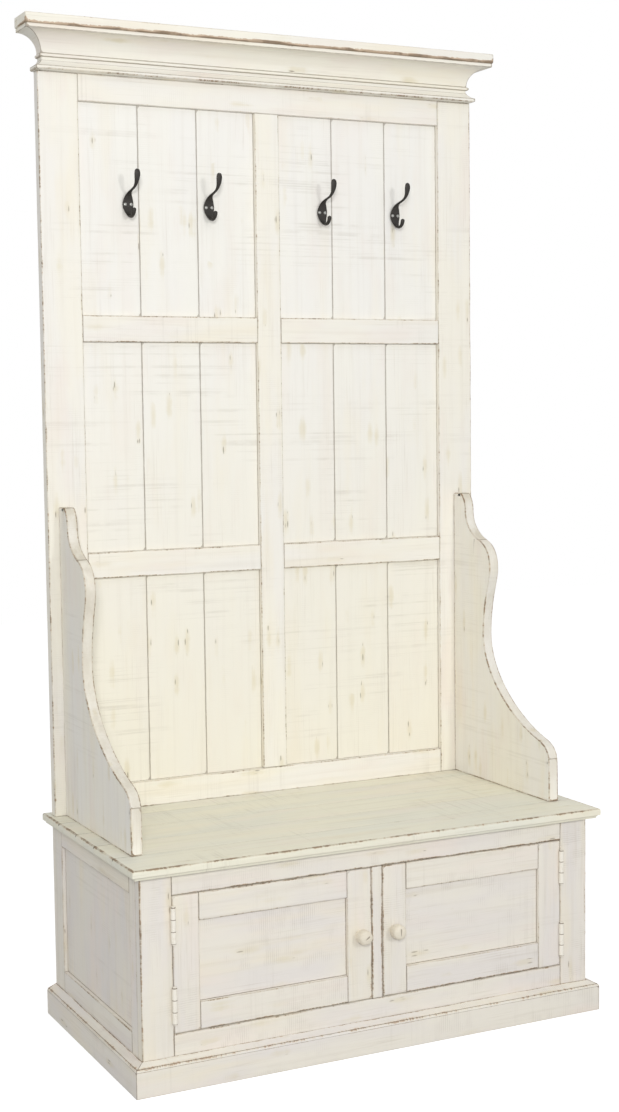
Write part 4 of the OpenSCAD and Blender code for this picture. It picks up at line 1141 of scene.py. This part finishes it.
def screw_heads(node, body, radius, height):
    """Round screw heads facing -Y, with a cross recess, where a CAD node has its screws."""
    data = bmesh.new()
    for solid in solids(node):
        low, high = solid_box(solid)
        centre = Vector(((low.x + high.x) / 2, low.y + height, (low.z + high.z) / 2))
        rings = []
        for r, h in HEAD_PROFILE:
            ring = []
            for k in range(HEAD_STEPS):
                a = 2 * math.pi * k / HEAD_STEPS
                beside = min(abs(math.sin(a - SLOT_TURN)), abs(math.cos(a - SLOT_TURN))) * r
                sunk = SLOT_DEPTH if beside < SLOT_HALF and 0.4 < r < 0.7 else 0.0
                ring.append(data.verts.new(centre + Vector((
                    radius * r * math.cos(a), -height * (h - sunk), radius * r * math.sin(a)))))
            rings.append(ring)
        middle = data.verts.new(centre + Vector((0, height * 0.2, 0)))
        for k in range(HEAD_STEPS):
            j = (k + 1) % HEAD_STEPS
            data.faces.new((middle, rings[0][j], rings[0][k]))
            for inner, outer in zip(rings, rings[1:]):
                data.faces.new((inner[k], inner[j], outer[j], outer[k]))
        data.faces.new(rings[-1])
    mesh = bpy.data.meshes.new(node)
    bmesh.ops.recalc_face_normals(data, faces=data.faces)
    data.to_mesh(mesh)
    data.free()
    finished(node + "_heads", mesh, {}, Z, body, [node], STEEL)


def hooks():
    boards_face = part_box("planks_left_bay")[0].y
    screw_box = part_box("hook_screws")
    middle = (screw_box[0].z + screw_box[1].z) / 2
    loft = hook_loft()
    for k in (1, 2, 3, 4):
        node = f"hook_{k}"
        low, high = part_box(node)
        data = loft.mesh(f"coat_hook_{k}")
        data.transform(Matrix.Translation(((low.x + high.x) / 2, boards_face, middle)))
        finished(f"coat_hook_{k}", data, loft.values, Z, CABINET, [node], BRONZE, sharp=180)
    screw_heads("hook_screws", CABINET, radius=3.4 * MM, height=1.5 * MM)


def metalwork():
    """CAD solids whose shape is already right: they only get a finish and softer arrises."""
    finish = {STEEL: ["back_brackets", "bracket_screws", "hinge_frame_screws"],
              HINGE_PAINT: ["hinge_frame_leaves", "hinge_pins"],
              CATCH: ["door_catch"]}
    for side in SIDES:
        finish[STEEL] += [f"{side}_door_screws", f"{side}_door_strike"]
        finish[HINGE_PAINT] += [f"{side}_door_leaves"]
    for material, nodes in finish.items():
        for node in nodes:
            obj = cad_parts[node]
            obj.data.materials.clear()
            obj.data.materials.append(material)
            soften = obj.modifiers.new("arrises", "BEVEL")
            soften.width = 0.25 * MM
            soften.segments = 2
            soften.limit_method = "ANGLE"
            soften.angle_limit = math.radians(SHARP_EDGE)


# ----------------------------------------------------------- floor, light, camera

AMBIENT = 0.57         # strength of the light from all round
FLOOR_LIFT = 0.72      # glow that brings the floor to white where the camera sees it
FLOOR_SIZE = 14
FLOOR_GREY = (0.55, 0.55, 0.55, 1.0)
AMBIENT_COLOUR = (1.0, 1.0, 0.99, 1.0)
# The lamps: name, place, what they point at, size and power.
LAMPS = (("key_front", (0.7, -4.8, 2.1), (0.0, 0.0, 1.0), 0.45, 38.0),
         ("key_left", (-2.15, -4.25, 2.2), (0.0, 0.0, 1.0), 0.7, 77.0),
         ("top", (0.3, -1.8, 4.2), (0.0, 0.0, 0.4), 3.0, 10.0))


def seen_directly(tree):
    """1 for what the camera sees, directly or in metal; 0 for light that falls on the object."""
    ray = tree.node("LightPath").outputs
    rays = ("Is Camera Ray", "Is Glossy Ray", "Is Transmission Ray")
    return tree.fold("MAXIMUM", [ray[name] for name in rays])


def floor_material():
    """A matte pale floor. To the camera it is lifted to white, and keeps the object's shadow."""
    n = Material("studio_floor")
    n.set(Base_Color=FLOOR_GREY, Roughness=0.9, Specular_IOR_Level=0.0, Emission_Color=WHITE,
          Emission_Strength=n.product(seen_directly(n), FLOOR_LIFT))
    return n.material


def floor_and_world():
    bpy.ops.mesh.primitive_plane_add(size=FLOOR_SIZE)
    plane = bpy.context.active_object
    plane.name = "studio_floor"
    plane.data.materials.append(floor_material())

    world = bpy.data.worlds.new("studio")
    bpy.context.scene.world = world
    world.use_nodes = True
    n = Tree(world.node_tree)
    ambient = n.node("Background", {"Color": AMBIENT_COLOUR, "Strength": AMBIENT})
    white = n.node("Background", {"Color": WHITE})
    mixed = n.node("MixShader", {"Fac": seen_directly(n), 1: ambient.outputs[0],
                                 2: white.outputs[0]})
    n.node("OutputWorld", {"Surface": mixed.outputs[0]})


def lights():
    for name, place, target, size, power in LAMPS:
        lamp = bpy.data.lights.new(name, "AREA")
        lamp.shape = "DISK"
        lamp.size = size
        lamp.energy = power
        obj = bpy.data.objects.new(name, lamp)
        obj.location = place
        obj.rotation_mode = "QUATERNION"
        obj.rotation_quaternion = (Vector(target) - Vector(place)).to_track_quat("-Z", "Y")
        bpy.context.scene.collection.objects.link(obj)


# The camera stands to the front left, at about chest height, and looks slightly down. It was
# solved from the object's own edges in the photograph.
CAMERA_PLACE = (-1.6103, -3.2224, 1.2701)
CAMERA_YAW, CAMERA_PITCH, CAMERA_ROLL = 26.2537, -4.7770, -0.7030    # degrees
CAMERA_LENS = 56.52                                                  # mm, on a 36 mm sensor


def camera():
    yaw, pitch, roll = (math.radians(a) for a in (CAMERA_YAW, CAMERA_PITCH, CAMERA_ROLL))
    data = bpy.data.cameras.new("camera")
    data.sensor_width = 36.0
    data.lens = CAMERA_LENS
    obj = bpy.data.objects.new("camera", data)
    obj.matrix_world = (Matrix.Translation(CAMERA_PLACE) @ Matrix.Rotation(-yaw, 4, "Z")
                        @ Matrix.Rotation(math.pi / 2 + pitch, 4, "X")
                        @ Matrix.Rotation(roll, 4, "Z"))
    bpy.context.scene.collection.objects.link(obj)
    bpy.context.scene.camera = obj
    bpy.context.scene.view_settings.view_transform = "Standard"


base_cabinet()
plinth()
cornice_mouldings()
upper_back()
arms()
seat()
for door_side in SIDES:
    door(door_side)
hooks()
metalwork()
floor_and_world()
lights()
camera()
